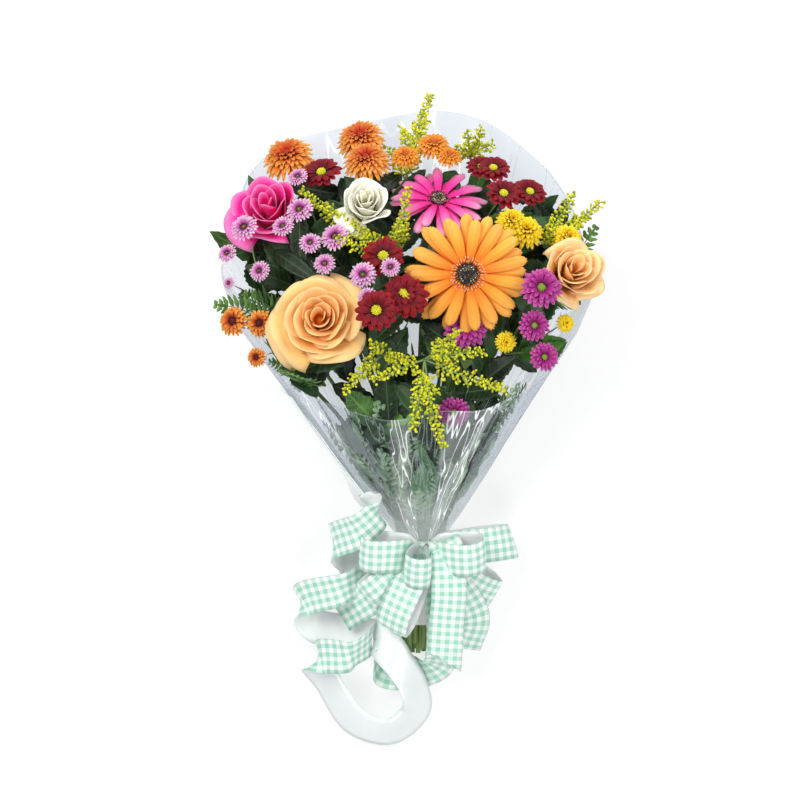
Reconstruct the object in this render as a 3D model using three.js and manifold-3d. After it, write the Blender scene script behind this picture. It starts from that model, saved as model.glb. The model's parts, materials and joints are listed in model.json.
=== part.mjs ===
// Mixed flower bouquet in a clear film cone, tied at the neck with a ribbon bow, lying on its back.
// Millimetres. +Z is up, +Y runs from the neck to the flowers, the table is the plane z = 0.
// While it is built, x = y = 0 is the middle of the tied neck; the last lines centre the whole.

import * as THREE from 'three';
import { mergeVertices } from 'three/addons/utils/BufferGeometryUtils.js';
import Module from 'manifold-3d';

const wasm = await Module();
wasm.setup();

// ---- Driving dimensions ---------------------------------------------------------------------

const GAP = 0.3; // clearance that every piece keeps to its neighbours
const BLADE = 0.7; // thickness of petals and leaves

const NECK_HEIGHT = 22; // middle of the neck above the table
const NECK_HALF = 12; // half the length of the straight neck

const STEM_PITCH = 5.1; // spacing of the stems, packed as a honeycomb in the neck
const STEM_RADIUS = 2.5; // corner radius of a five-sided stem in the neck
const STEM_RINGS = 3; // rings of stems round the middle one
const STEM_CUT = 84; // cut ends below the middle of the neck
const STEM_SIDES = 5;
const STALK = 4; // straight part of a stalk under its head
const SWAY = 0.3; // furthest that a stem bends aside, as a share of its length

const FILM_THICKNESS = 0.8;
const FILM_NECK = 19.1; // outer radius of the film in the neck
const FILM_WIDE = 0.63; // growth of the half width for each millimetre along the axis
const FILM_DEEP = 0.42; // growth of the half depth for each millimetre along the axis
const FILM_RISE = THREE.MathUtils.degToRad(21.3); // axis above the table
const FILM_LEAN = THREE.MathUtils.degToRad(2.9); // axis towards the left
const FILM_FRONT = 150; // axis length at the low front lip
const FILM_BACK = 350; // axis length at the back rim
const FILM_SLEEVE = 50; // film below the neck, round the stem ends
const FILM_ROUND = 30; // points round the film
const FILM_ALONG = [0, 0.09, 0.3, 0.55, 0.78, 1]; // rings from neck to rim

const RIBBON_WIDTH = 31;
const RIBBON_THICKNESS = 0.8;
const TIE_THICKNESS = 1.1;
const TIE_HALF = 9;

const DOME = { top: 172, middle: 190, along: 0.0034, across: 0.0016 }; // surface the blooms fill

// ---- Small helpers --------------------------------------------------------------------------

const UP = new THREE.Vector3(0, 0, 1);
const AHEAD = new THREE.Vector3(0, 1, 0);
const vec = (x, y, z) => new THREE.Vector3(x, y, z);
const mix = THREE.MathUtils.lerp;

let seed = 20261;
function random() {
  seed = (seed * 16807) % 2147483647;
  return seed / 2147483647;
}

function spread(amount) {
  return (random() * 2 - 1) * amount;
}

function domeHeight(x, y) {
  return DOME.top - DOME.along * (y - DOME.middle) ** 2 - DOME.across * x * x;
}

function domeFacing(x, y) {
  return vec(DOME.across * 1.6 * x, DOME.along * 1.6 * (y - DOME.middle), 1).normalize();
}

// ---- Solids ---------------------------------------------------------------------------------

function solidFrom(positions, faces) {
  let volume = 0;
  for (let i = 0; i < faces.length; i += 3) {
    const [a, b, c] = [positions[faces[i]], positions[faces[i + 1]], positions[faces[i + 2]]];
    volume += a.dot(b.clone().cross(c));
  }
  const order = volume > 0 ? faces : faces.slice().reverse();
  const vertProperties = new Float32Array(positions.flatMap((p) => [p.x, p.y, p.z]));
  return new wasm.Manifold(new wasm.Mesh({ numProp: 3, vertProperties, triVerts: new Uint32Array(order) }));
}

function solidOf(geometry) {
  geometry.deleteAttribute('normal');
  geometry.deleteAttribute('uv');
  const merged = mergeVertices(geometry);
  const positions = [];
  for (let i = 0; i < merged.attributes.position.count; i += 1) {
    positions.push(new THREE.Vector3().fromBufferAttribute(merged.attributes.position, i));
  }
  return solidFrom(positions, Array.from(merged.index.array));
}

// A closed sheet between two grids of points that are split into triangles alike.
function sheet(upper, lower, wrap = false) {
  const rows = upper.length;
  const cols = upper[0].length;
  const spans = wrap ? cols : cols - 1;
  const faces = [];
  const at = (layer, i, j) => (layer * rows + i) * cols + (j % cols);
  const quad = (a, b, c, d) => faces.push(a, b, c, a, c, d);
  for (let i = 0; i < rows - 1; i += 1) {
    for (let j = 0; j < spans; j += 1) {
      quad(at(0, i, j), at(0, i + 1, j), at(0, i + 1, j + 1), at(0, i, j + 1));
      quad(at(1, i + 1, j + 1), at(1, i + 1, j), at(1, i, j), at(1, i, j + 1));
    }
  }
  const last = rows - 1;
  for (let j = 0; j < spans; j += 1) {
    quad(at(0, 0, j), at(0, 0, j + 1), at(1, 0, j + 1), at(1, 0, j));
    quad(at(0, last, j + 1), at(0, last, j), at(1, last, j), at(1, last, j + 1));
  }
  for (let i = 0; !wrap && i < last; i += 1) {
    const edge = cols - 1;
    quad(at(0, i + 1, 0), at(0, i, 0), at(1, i, 0), at(1, i + 1, 0));
    quad(at(0, i, edge), at(0, i + 1, edge), at(1, i + 1, edge), at(1, i, edge));
  }
  return solidFrom([...upper.flat(), ...lower.flat()], faces);
}

// A thin blade: place(u, v) runs from the root (u = 0) to the tip and from edge to edge.
function blade(rows, cols, place, thickness = BLADE) {
  const grid = [];
  for (let i = 0; i <= rows; i += 1) {
    grid.push([]);
    for (let j = 0; j <= cols; j += 1) {
      grid[i].push(place(i / rows, (2 * j) / cols - 1, i));
    }
  }
  const under = grid.map((row, i) => row.map((point, j) => {
    const along = grid[Math.min(i + 1, rows)][j].clone().sub(grid[Math.max(i - 1, 0)][j]);
    const across = row[Math.min(j + 1, cols)].clone().sub(row[Math.max(j - 1, 0)]);
    return point.clone().addScaledVector(along.cross(across).normalize(), -thickness);
  }));
  return sheet(grid, under);
}

// A closed body through rings that run the same way round; each point has an angle, counts may differ.
function loft(rings) {
  const positions = rings.flat().map((corner) => corner.point);
  const faces = [];
  let base = 0;
  rings.slice(0, -1).forEach((ring, r) => {
    const next = rings[r + 1];
    const start = base + ring.length;
    const turnOf = (list, k) => list[k % list.length].angle + (k >= list.length ? 2 * Math.PI : 0);
    let i = 0;
    let j = 0;
    while (i < ring.length || j < next.length) {
      const corner = base + (i % ring.length);
      const above = start + (j % next.length);
      const stepLower = j >= next.length || (i < ring.length && turnOf(ring, i + 1) <= turnOf(next, j + 1));
      if (stepLower) {
        faces.push(corner, base + ((i + 1) % ring.length), above);
        i += 1;
      } else {
        faces.push(corner, start + ((j + 1) % next.length), above);
        j += 1;
      }
    }
    base = start;
  });
  for (let k = 1; k < rings[0].length - 1; k += 1) {
    faces.push(0, k + 1, k);
  }
  for (let k = 1; k < rings[rings.length - 1].length - 1; k += 1) {
    faces.push(base, base + k, base + k + 1);
  }
  return solidFrom(positions, faces);
}

// A stem through points, with a radius at each, that may carry the rings of a head at its end.
function grow(points, radii, sides, facing, head = []) {
  const rings = [];
  let side = vec(1, 0, 0);
  points.forEach((point, i) => {
    const before = points[Math.max(i - 1, 0)];
    const after = points[Math.min(i + 1, points.length - 1)];
    const along = i === points.length - 1 ? facing.clone() : after.clone().sub(before).normalize();
    side = side.clone().addScaledVector(along, -side.dot(along)).normalize();
    const other = along.clone().cross(side);
    const place = (corner) => {
      const moved = point.clone().addScaledVector(side, corner.point.x).addScaledVector(other,
        corner.point.y);
      return { angle: corner.angle, point: moved.addScaledVector(along, corner.point.z) };
    };
    rings.push(roundRing(sides, radii[i], 0).map(place));
    if (i === points.length - 1) {
      head.forEach((ring) => rings.push(ring.map(place)));
    }
  });
  return loft(rings);
}

function roundRing(count, radius, height) {
  return Array.from({ length: count }, (_, k) => {
    const angle = ((k + 0.5) * 2 * Math.PI) / count;
    return { angle, point: vec(radius * Math.cos(angle), radius * Math.sin(angle), height) };
  });
}

// Upper and lower outline of a wheel of petals: notches at root, and one, two or three corners at each tip.
function petalRims({ petals, reach, root, rise = 0, corners = 1, uneven = 0.05 }) {
  const upper = [];
  const step = (2 * Math.PI) / petals;
  const push = (angle, radius, height) => {
    upper.push({ angle, point: vec(radius * Math.cos(angle), radius * Math.sin(angle), height) });
  };
  for (let i = 0; i < petals; i += 1) {
    const angle = (i + 0.5) * step;
    const length = reach * (1 + spread(uneven));
    const height = rise + spread(reach * uneven);
    push(angle - step / 2, root, rise * (root / reach));
    if (corners === 3) {
      push(angle - step * 0.3, length * 0.88, height);
      push(angle, length, height);
      push(angle + step * 0.3, length * 0.88, height);
    } else {
      const sides = corners === 2 ? [-0.25, 0.25] : [0];
      sides.forEach((share) => push(angle + share * step, length, height));
    }
  }
  const lower = upper.map(({ angle, point }) => ({ angle, point: point.clone().addScaledVector(UP,
    -BLADE) }));
  return [lower, upper];
}

// Turns a solid that faces +Z to face another way and moves it to its place.
function stand(solid, place, facing, spin = 0) {
  const turn = new THREE.Quaternion().setFromUnitVectors(UP, facing.clone().normalize());
  turn.multiply(new THREE.Quaternion().setFromAxisAngle(UP, spin));
  const matrix = new THREE.Matrix4().compose(place, turn, vec(1, 1, 1));
  return solid.transform(matrix.elements);
}

// ---- Keeping clear --------------------------------------------------------------------------

const arrangement = new THREE.Group();
const finished = [];

function boxesApart(a, b) {
  return [0, 1, 2].some((k) => a.min[k] > b.max[k] + GAP || b.min[k] > a.max[k] + GAP);
}

function isClear(solid) {
  const box = solid.boundingBox();
  if (box.min[2] < GAP) {
    return false;
  }
  return finished.every((other) => {
    if (boxesApart(box, other.box)) {
      return true;
    }
    return other.solid.minGap(solid, GAP * 2) >= GAP && other.solid.intersect(solid).isEmpty();
  });
}

// Calls make(0), make(1)... and returns the first solid, or list of solids, that clears its neighbours.
function firstClear(tries, make) {
  for (let attempt = 0; attempt < tries; attempt += 1) {
    const made = make(attempt);
    const solids = Array.isArray(made) ? made : [made];
    if (solids.every(isClear)) {
      return made;
    }
  }
  return null;
}

// Whether every edge has just two faces once points closer than the given distance are taken as one.
function staysClosed(geometry, close) {
  const edges = new Set();
  const index = mergeVertices(geometry, close).index.array;
  for (let i = 0; i < index.length; i += 3) {
    for (let k = 0; k < 3; k += 1) {
      const [a, b] = [index[i + k], index[i + ((k + 1) % 3)]];
      if (a === b || edges.has(`${a}_${b}`)) {
        return false;
      }
      edges.add(`${a}_${b}`);
    }
  }
  return [...edges].every((edge) => edges.has(edge.split('_').reverse().join('_')));
}

function geometryOf(solid) {
  const { vertProperties, triVerts } = solid.getMesh();
  const geometry = new THREE.BufferGeometry();
  geometry.setAttribute('position', new THREE.BufferAttribute(vertProperties, 3));
  geometry.setIndex(new THREE.BufferAttribute(triVerts, 1));
  return geometry;
}

// The largest body with its flattest corners taken out, as many as leave it closed.
function plainer(joined) {
  const whole = joined.asOriginal();
  for (const tolerance of [0.2, 0.26, 0.34, 0.14, 0.09, 0.45]) {
    const bodies = whole.simplify(tolerance).decompose();
    const solid = bodies.sort((a, b) => b.volume() - a.volume())[0];
    if ([1e-3, 4e-3].every((close) => staysClosed(geometryOf(solid), close))) {
      return solid;
    }
  }
  return whole;
}

// Fuses a node's pieces, keeps the largest body and adds it to the arrangement.
function addNode(name, finish, pieces) {
  const solids = pieces.flat(Infinity).filter(Boolean);
  const joined = solids.length > 1 ? wasm.Manifold.union(solids) : solids[0];
  const solid = plainer(joined);
  finished.push({ name, solid, box: solid.boundingBox() });
  const geometry = geometryOf(solid);
  geometry.computeVertexNormals();
  const mesh = new THREE.Mesh(geometry, finish);
  mesh.name = name;
  arrangement.add(mesh);
}

function finishOf(color, roughness, more = {}) {
  return new THREE.MeshStandardMaterial({ color, roughness, metalness: 0, ...more });
}

const FINISH = {
  film: finishOf(0xdfe8ea, 0.12, { transparent: true, opacity: 0.35 }),
  ribbon: finishOf(0xc4e4d6, 0.55),
  peach: finishOf(0xf6b579, 0.6),
  hotPink: finishOf(0xe8479a, 0.6),
  white: finishOf(0xf5efdc, 0.6),
  orange: finishOf(0xf39a4a, 0.6),
  pink: finishOf(0xe54a9b, 0.6),
  dark: finishOf(0x2e1a1c, 0.8),
  lilac: finishOf(0xd58cc6, 0.65),
  red: finishOf(0x8c1220, 0.65),
  purple: finishOf(0xa93a94, 0.65),
  bronze: finishOf(0xe07a35, 0.65),
  yellow: finishOf(0xe8cf1e, 0.65),
  goldenrod: finishOf(0xd3cc1f, 0.7),
  green: finishOf(0x5d8a3a, 0.6),
  darkGreen: finishOf(0x2f5a2a, 0.55),
};

// ---- Film -----------------------------------------------------------------------------------

function filmPoint(along, around, inset) {
  const reach = Math.max(along - NECK_HALF, 0);
  const tilt = FILM_RISE * Math.min(reach / 30, 1);
  const pleat = 1 + 0.018 * Math.sin(7 * around + 1) * Math.min(reach / 60, 1);
  const flare = along < -NECK_HALF ? (-NECK_HALF - along) * 0.03 : 0;
  const wide = (FILM_NECK + flare + FILM_WIDE * reach) * pleat - inset;
  const deep = (FILM_NECK + flare + FILM_DEEP * reach) * pleat - inset;
  const centre = vec(
    -Math.sin(FILM_LEAN) * reach,
    Math.min(along, NECK_HALF) + Math.cos(FILM_RISE) * reach,
    NECK_HEIGHT + Math.sin(FILM_RISE) * reach,
  );
  centre.x += wide * Math.sin(around);
  centre.y -= deep * Math.cos(around) * Math.sin(tilt);
  centre.z += deep * Math.cos(around) * Math.cos(tilt);
  centre.z = Math.max(centre.z, inset);
  return centre;
}

function rimReach(around) {
  const share = (1 + Math.cos(around)) / 2;
  const wave = 4 * Math.sin(5 * around + 0.6) + 2.5 * Math.sin(9 * around);
  return 1 / mix(1 / FILM_BACK, 1 / FILM_FRONT, share) + wave;
}

function filmLayer(inset) {
  const rings = [-NECK_HALF - FILM_SLEEVE, -NECK_HALF - FILM_SLEEVE / 2, -NECK_HALF];
  const layer = rings.map((along) => ringOf((around) => filmPoint(along, around, inset)));
  FILM_ALONG.forEach((share) => {
    layer.push(ringOf((around) => filmPoint(NECK_HALF + share * rimReach(around), around, inset)));
  });
  return layer;
}

function ringOf(place) {
  return Array.from({ length: FILM_ROUND }, (_, k) => place((k * 2 * Math.PI) / FILM_ROUND));
}

function buildFilm() {
  addNode('film_wrap', FINISH.film, [sheet(filmLayer(0), filmLayer(FILM_THICKNESS), true)]);
}

// ---- Ribbon ---------------------------------------------------------------------------------

// A strip through stations: the middle line, and at each point the way that the width lies.
function ribbonStrip(stations, steps, lift = 0) {
  const line = new THREE.CatmullRomCurve3(stations.map(({ at }) => at.clone().addScaledVector(UP, lift)));
  const lay = new THREE.CatmullRomCurve3(stations.map(({ across }) => across));
  return blade(steps, 1, (u, v) => {
    const across = lay.getPoint(u).normalize();
    return line.getPoint(u).addScaledVector(across, (v * RIBBON_WIDTH) / 2);
  }, RIBBON_THICKNESS);
}

function station([x, y, z, ax, ay, az]) {
  return { at: vec(x, y, z), across: vec(ax, ay, az).normalize() };
}

// A station that lies over the film, by its place along and round it.
function onFilm([along, degrees, off]) {
  const around = THREE.MathUtils.degToRad(degrees);
  const side = filmPoint(along, around + 0.1, -off).sub(filmPoint(along, around - 0.1, -off));
  return { at: filmPoint(along, around, -off), across: side.normalize() };
}

const KNOT = vec(1, 3, 52.2);

// A loop that leaves the knot, swells and comes back: out is where it points, open how deep it is.
function bowLoop({ out, across, length, open, lift = 0 }, rise) {
  const ahead = vec(...out).normalize();
  const lay = vec(...across).normalize();
  const deep = ahead.clone().cross(lay).normalize();
  const shape = [[0.02, 0.05], [0.4, 0.4], [0.8, 0.5], [1, 0.1], [0.88, -0.38], [0.45, -0.36],
    [0.04, -0.05]];
  const line = new THREE.CatmullRomCurve3(shape.map(([far, side]) => {
    const point = KNOT.clone().addScaledVector(ahead, far * length).addScaledVector(deep, side * open);
    return point.addScaledVector(UP, (lift + rise) * Math.min(far * 3, 1));
  }));
  return blade(6, 1, (u, v) => {
    const squeeze = u < 0.05 || u > 0.95 ? 0.25 : 1;
    return line.getPoint(u).addScaledVector(lay, (v * RIBBON_WIDTH * squeeze) / 2);
  }, RIBBON_THICKNESS);
}

const LOOPS = [
  { out: [-1, 0.02, 0.1], across: [0.05, 0.93, 0.36], length: 56, open: 26, lift: 3 }, // upper left
  { out: [-0.75, -0.6, -0.1], across: [-0.6, 0.78, 0.2], length: 64, open: 16, lift: -3 }, // left, lower
  { out: [-0.36, -0.9, -0.1], across: [0.8, -0.4, 0.3], length: 74, open: 24, lift: 0 }, // lower middle
  { out: [-0.12, -0.5, 0.8], across: [0.05, 0.85, 0.5], length: 34, open: 26, lift: 3 }, // front middle
  { out: [1, 0, 0.2], across: [-0.05, 0.92, 0.4], length: 56, open: 30, lift: 2 }, // right
  { out: [1, 0.12, -0.25], across: [-0.3, 0.9, 0.1], length: 84, open: 22, lift: -2 }, // far right
  { out: [0.86, -0.5, -0.3], across: [0.4, 0.75, 0.4], length: 78, open: 20, lift: -2 }, // lower right
];

const TAILS = [
  // middle tail, over the front
  [[6, 10, 58, 1, 0.1, 0], [19, 12, 70, 1, 0.1, 0.05], [24, -25, 69, 1, 0.05, 0],
    [22, -60, 56, 1, 0, 0], [20, -94, 44, 1, -0.1, 0]],
  // right tail
  [[6, 0, 50, 0.6, 0.8, 0], [32, -30, 44, 0.9, 0.5, 0], [46, -58, 28, 0.9, 0.42, 0],
    [38, -84, 14, 0.9, 0.42, 0.1]],
  // left tail
  [[-4, 0, 50, -0.3, 1, 0], [-30, -26, 42, -0.5, 0.86, 0], [-52, -42, 26, -0.5, 0.86, 0],
    [-72, -55, 12, -0.5, 0.86, 0]],
];

const CURL_ON_FILM = [[162, -75, 3], [132, -78, 3.5], [104, -77, 4], [78, -72, 5.5], [60, -60, 9]];
const CURL_FREE = [
  [-38, 40, 75, 0, 1, 0.2], [-54, 24, 77, 0.2, 0.9, 0.35], [-78, 12, 56, 0, 1, 0.2],
    [-66, -4, 34, -0.3, 0.95, 0],
  [-48, -16, 34, 0, 1, 0], [-70, -29, 50, 0.25, 0.9, 0.35], [-107, -42, 32, 0, 1, 0.2],
  [-95, -64, 18, -0.2, 1, 0], [-66, -70, 17, 0, 1, 0], [-44, -74, 30, 0.1, 1, 0.1],
  [-64, -88, 52, 0.4, 0.85, 0.35], [-92, -92, 36, 0.3, 0.9, 0.3], [-80, -122, 18, 0.8, 0.2, 0.55],
  [-60, -150, 17, 0.5, 0.7, 0.5], [-28, -160, 17, 0, 0.8, 0.6], [-6, -142, 24, -0.5, 0.6, 0.6],
  [-6, -118, 38, -0.7, -0.3, 0.6], [-22, -92, 44, -0.5, -0.75, 0.4], [-42, -72, 30, 0, -1, 0],
  [-34, -104, 14, 0.3, -1, 0], [-4, -106, 13, 0.7, -0.7, 0], [14, -100, 26, 1, -0.2, 0],
  [17, -82, 45, 1, 0, 0], [14, -45, 46, 1, 0, 0], [8, -10, 50, 1, 0, 0],
];

function ribbonTie() {
  const inner = FILM_NECK + GAP;
  const outer = inner + TIE_THICKNESS;
  const profile = [[inner, -TIE_HALF], [outer, -TIE_HALF], [outer, TIE_HALF], [inner, TIE_HALF],
    [inner, -TIE_HALF]];
  const band = new THREE.LatheGeometry(profile.map(([r, h]) => new THREE.Vector2(r, h)), 20);
  return solidOf(band).translate([0, 0, NECK_HEIGHT]);
}

function buildRibbon() {
  addNode('ribbon_tie', FINISH.ribbon, [ribbonTie()]);
  const knot = solidOf(new THREE.OctahedronGeometry(13)).scale([1, 1, 0.7]).translate([KNOT.x, KNOT.y,
    KNOT.z]);
  const loops = LOOPS.map((loop) => firstClear(16, (attempt) => bowLoop(loop, attempt)));
  const tails = TAILS.map((tail) => firstClear(16, (attempt) => ribbonStrip(tail.map(station), 6,
    attempt)));
  const curl = [...CURL_ON_FILM.map(onFilm), ...CURL_FREE.map(station)];
  const ringlets = firstClear(16, (attempt) => ribbonStrip(curl, 46, attempt * 0.5));
  addNode('ribbon_bow', FINISH.ribbon, [knot, loops, tails, ringlets]);
}

// ---- Stems ----------------------------------------------------------------------------------

function honeycomb() {
  const slots = [];
  for (let row = -STEM_RINGS; row <= STEM_RINGS; row += 1) {
    const count = 2 * STEM_RINGS + 1 - Math.abs(row);
    for (let k = 0; k < count; k += 1) {
      const x = (k - (count - 1) / 2) * STEM_PITCH;
      slots.push(vec(x, 0, NECK_HEIGHT + row * STEM_PITCH * Math.sin(Math.PI / 3)));
    }
  }
  return slots;
}

const freeSlots = honeycomb();

// Free places in the neck, nearest first to the one on the stem's own side, so that stems hardly cross.
function slotsToward(target) {
  const turn = Math.atan2(target.x, target.y) / THREE.MathUtils.degToRad(42);
  const rise = Math.atan2(target.z - NECK_HEIGHT, Math.hypot(target.x, target.y));
  const lift = (rise - THREE.MathUtils.degToRad(24)) / THREE.MathUtils.degToRad(26);
  const radius = STEM_RINGS * STEM_PITCH;
  const wish = vec(turn * radius, 0, NECK_HEIGHT + lift * radius);
  return freeSlots.slice().sort((a, b) => a.distanceTo(wish) - b.distanceTo(wish)).slice(0, 10);
}

// Grows a stem on a free course: each try bends it a little more.
function branch(start, leave, end, arrive, radii, options = {}) {
  const { sides = 3, steps = 2, before = [], tries = 40, head = [] } = options;
  const length = start.distanceTo(end);
  return firstClear(tries, (attempt) => {
    const sway = (attempt / tries) * SWAY * length;
    const shift = () => vec(spread(sway), spread(sway), spread(sway));
    const out = start.clone().addScaledVector(leave, length * 0.3).add(shift());
    const bend = Math.min(length * 0.35, 45);
    const back = end.clone().addScaledVector(arrive, -bend).add(shift());
    const curve = new THREE.CubicBezierCurve3(start, out, back, end);
    const points = [...before, ...curve.getPoints(steps)];
    const thick = points.map((_, i) => {
      const share = (i - before.length) / steps;
      return mix(radii[0], radii[1], Math.max(share, 0));
    });
    return grow(points, thick, sides, arrive, head);
  });
}

// A stem from its cut end through a free place in the neck to its own end.
function stemTo(end, arrive, tipRadius, head = []) {
  for (const slot of slotsToward(end)) {
    const cut = vec(slot.x, -STEM_CUT + spread(5), slot.z);
    const start = vec(slot.x, NECK_HALF, slot.z);
    const stem = branch(start, AHEAD, end, arrive, [STEM_RADIUS, tipRadius], {
      sides: STEM_SIDES, steps: 3, before: [cut], tries: 60, head,
    });
    if (stem) {
      freeSlots.splice(freeSlots.indexOf(slot), 1);
      return stem;
    }
  }
  return null;
}

// A stem whose own end may give way a little: returns the stem and where it ends.
function stemNear(end, arrive, tipRadius) {
  for (let attempt = 0; attempt < 30; attempt += 1) {
    const give = Math.min(attempt * 4, 32);
    const place = end.clone().add(vec(spread(give), spread(give), spread(give / 2)));
    const stem = stemTo(place, arrive, tipRadius);
    if (stem) {
      return { stem, place };
    }
  }
  return { stem: null, place: end };
}

// ---- Leaves ---------------------------------------------------------------------------------

// A leaf with cut edges from root to tip: notch is how deep the cuts go, 1 for a whole edge.
function leaf({ from, to, face, width, rows = 6, cols = 2, notch = 0.75, arch = 0.08, fold = 0.25 }) {
  const along = to.clone().sub(from);
  const across = along.clone().cross(face).normalize();
  const up = across.clone().cross(along).normalize();
  return blade(rows, cols, (u, v, i) => {
    const swell = Math.max(Math.sin(Math.PI * Math.max((u - 0.14) / 0.86, 0) ** 0.8), 0.08);
    const cut = i % 2 === 1 ? 1 : notch;
    const half = (width / 2) * swell * cut;
    const point = from.clone().addScaledVector(along, u + (cut === 1 ? 0.02 : 0) * Math.abs(v));
    point.addScaledVector(up, arch * along.length() * Math.sin(Math.PI * u) - fold * half * Math.abs(v));
    return point.addScaledVector(across, v * half);
  });
}

// A leaf with its short stalk, turned a little at each try until it clears its neighbours.
function clearLeaf(options, tries = 24) {
  const length = options.to.distanceTo(options.from);
  return firstClear(tries, (attempt) => {
    const sway = (attempt * length) / 45;
    const shift = vec(spread(sway), spread(sway), spread(sway));
    return leaf({ ...options, to: options.to.clone().add(shift) });
  });
}

// ---- Roses ----------------------------------------------------------------------------------

// One petal on a cup: narrow at its root, and turned so that one edge lies over its neighbour.
function rosePetal({ turn, spanAngle, root, rim, low, high, curl, spiral = 0.19 }) {
  return blade(2, 2, (u, v) => {
    const swell = Math.sin((u * Math.PI) / 2);
    const radius = mix(root, rim, swell) * (1 + spiral * v * swell);
    const angle = turn + v * spanAngle * (0.4 + 0.6 * Math.sin(Math.PI * 0.72 * u));
    const height = mix(low, high, u) - curl * u * u - 0.12 * (high - low) * v * v * u;
    return vec(radius * Math.cos(angle), radius * Math.sin(angle), height);
  });
}

function roseBloom({ radius, depth, open, rings }) {
  const foot = -depth * 0.6;
  const petals = [loft([
    roundRing(6, radius * 0.17, foot), roundRing(5, radius * 0.24, foot * 0.1),
    roundRing(5, radius * 0.2, depth), roundRing(3, radius * 0.06, depth * 0.7),
  ])];
  rings.forEach((count, ring) => {
    const share = (ring + 1) / rings.length;
    for (let k = 0; k < count; k += 1) {
      petals.push(rosePetal({
        turn: ((k + ring * 0.37) * 2 * Math.PI) / count + spread(0.05),
        spanAngle: (Math.PI / count) * 1.14,
        root: radius * 0.14,
        rim: radius * mix(0.34, 1, share ** mix(0.9, 1.3, open)),
        low: foot * (share - 0.25),
        high: depth * mix(0.98, mix(0.75, 0.42, open), share),
        curl: depth * 0.16 * open * share,
      }));
    }
  });
  return petals;
}

const ROSES = [
  { name: 'rose_peach_front', finish: 'peach', at: [-87, 205, 143],
    facing: [0, 0.16, 1], radius: 39, depth: 30,
    open: 1, rings: [4, 4, 5] },
  { name: 'rose_peach_side', finish: 'peach', at: [125, 245, 126],
    facing: [0.3, 0.3, 1], radius: 31, depth: 28,
    open: 0.6 },
  { name: 'rose_pink', finish: 'hotPink', at: [-130, 297, 88],
    facing: [-0.18, 0.5, 1], radius: 33, depth: 34,
    open: 0.35 },
  { name: 'rose_white', finish: 'white', at: [-48, 301, 113], facing: [0, 0.42, 1], radius: 26, depth: 30,
    open: 0.3 },
];

function buildRose({ name, finish, at, facing, radius, depth, open, rings = [4, 4] }) {
  const face = vec(...facing).normalize();
  const petals = roseBloom({ radius, depth, open, rings });
  let place = vec(...at);
  const bloom = firstClear(12, (attempt) => {
    place = vec(...at).addScaledVector(face, -2 * attempt);
    return petals.map((petal) => stand(petal, place, face));
  });
  addNode(`${name}_bloom`, FINISH[finish], [bloom]);
  const sepals = petalRims({ petals: 5, reach: radius * 0.8, root: radius * 0.2, rise: -depth * 0.2 });
  const hip = [roundRing(6, radius * 0.15, 3), ...sepals.map(raise(6)), roundRing(6, radius * 0.15, 6)];
  const seat = place.addScaledVector(face, -depth * 0.6 - 6 - 2 * GAP);
  addNode(`${name}_stem`, FINISH.green, [stemTo(seat, face, 2.2, hip)]);
}

// ---- Gerberas -------------------------------------------------------------------------------

const GERBERAS = [
  { name: 'gerbera_orange', finish: 'orange', at: [38, 245, 153],
    facing: [0.05, -0.2, 1], reach: 52, disc: 12,
    rays: 19 },
  { name: 'gerbera_pink', finish: 'pink', at: [14, 309, 96], facing: [0.1, 0.75, 0.75], reach: 42, disc: 9,
    rays: 15 },
];

function buildGerbera({ name, finish, at, facing, reach, disc, rays }) {
  const face = vec(...facing).normalize();
  const outer = petalRims({ petals: rays, reach, root: reach * 0.34, rise: reach * 0.1, corners: 2 });
  const inner = petalRims({
    petals: rays - 2, reach: reach * 0.8, root: reach * 0.34, rise: reach * 0.2, corners: 2,
  }).map((ring) => ring.map(({ angle, point }) => ({ angle, point: point.setZ(point.z + 2.2) })));
  const rings = [roundRing(6, disc * 0.7, -5), ...outer, roundRing(6, disc, 1), ...inner, roundRing(8,
    disc, 3)];
  let place = vec(...at);
  const bloom = firstClear(12, (attempt) => {
    place = vec(...at).addScaledVector(face, -2 * attempt);
    return stand(loft(rings), place, face);
  });
  addNode(`${name}_rays`, FINISH[finish], [bloom]);
  const fringe = petalRims({ petals: 13, reach: disc * 0.98, root: disc * 0.75, rise: 2.4 });
  const heart = [roundRing(8, disc * 0.8, 0), ...fringe, roundRing(6, disc * 0.5, 2.6), roundRing(4,
    disc * 0.2, 3)];
  const seat = place.clone().addScaledVector(face, 3 + GAP);
  addNode(`${name}_disc`, FINISH.dark, [stand(loft(heart), seat, face)]);
  const cup = [roundRing(6, disc * 0.7, 5)];
  const foot = place.clone().addScaledVector(face, -10 - 2 * GAP);
  addNode(`${name}_stem`, FINISH.green, [stemTo(foot, face, 2.6, cup)]);
}

// ---- Sprays ---------------------------------------------------------------------------------

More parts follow.
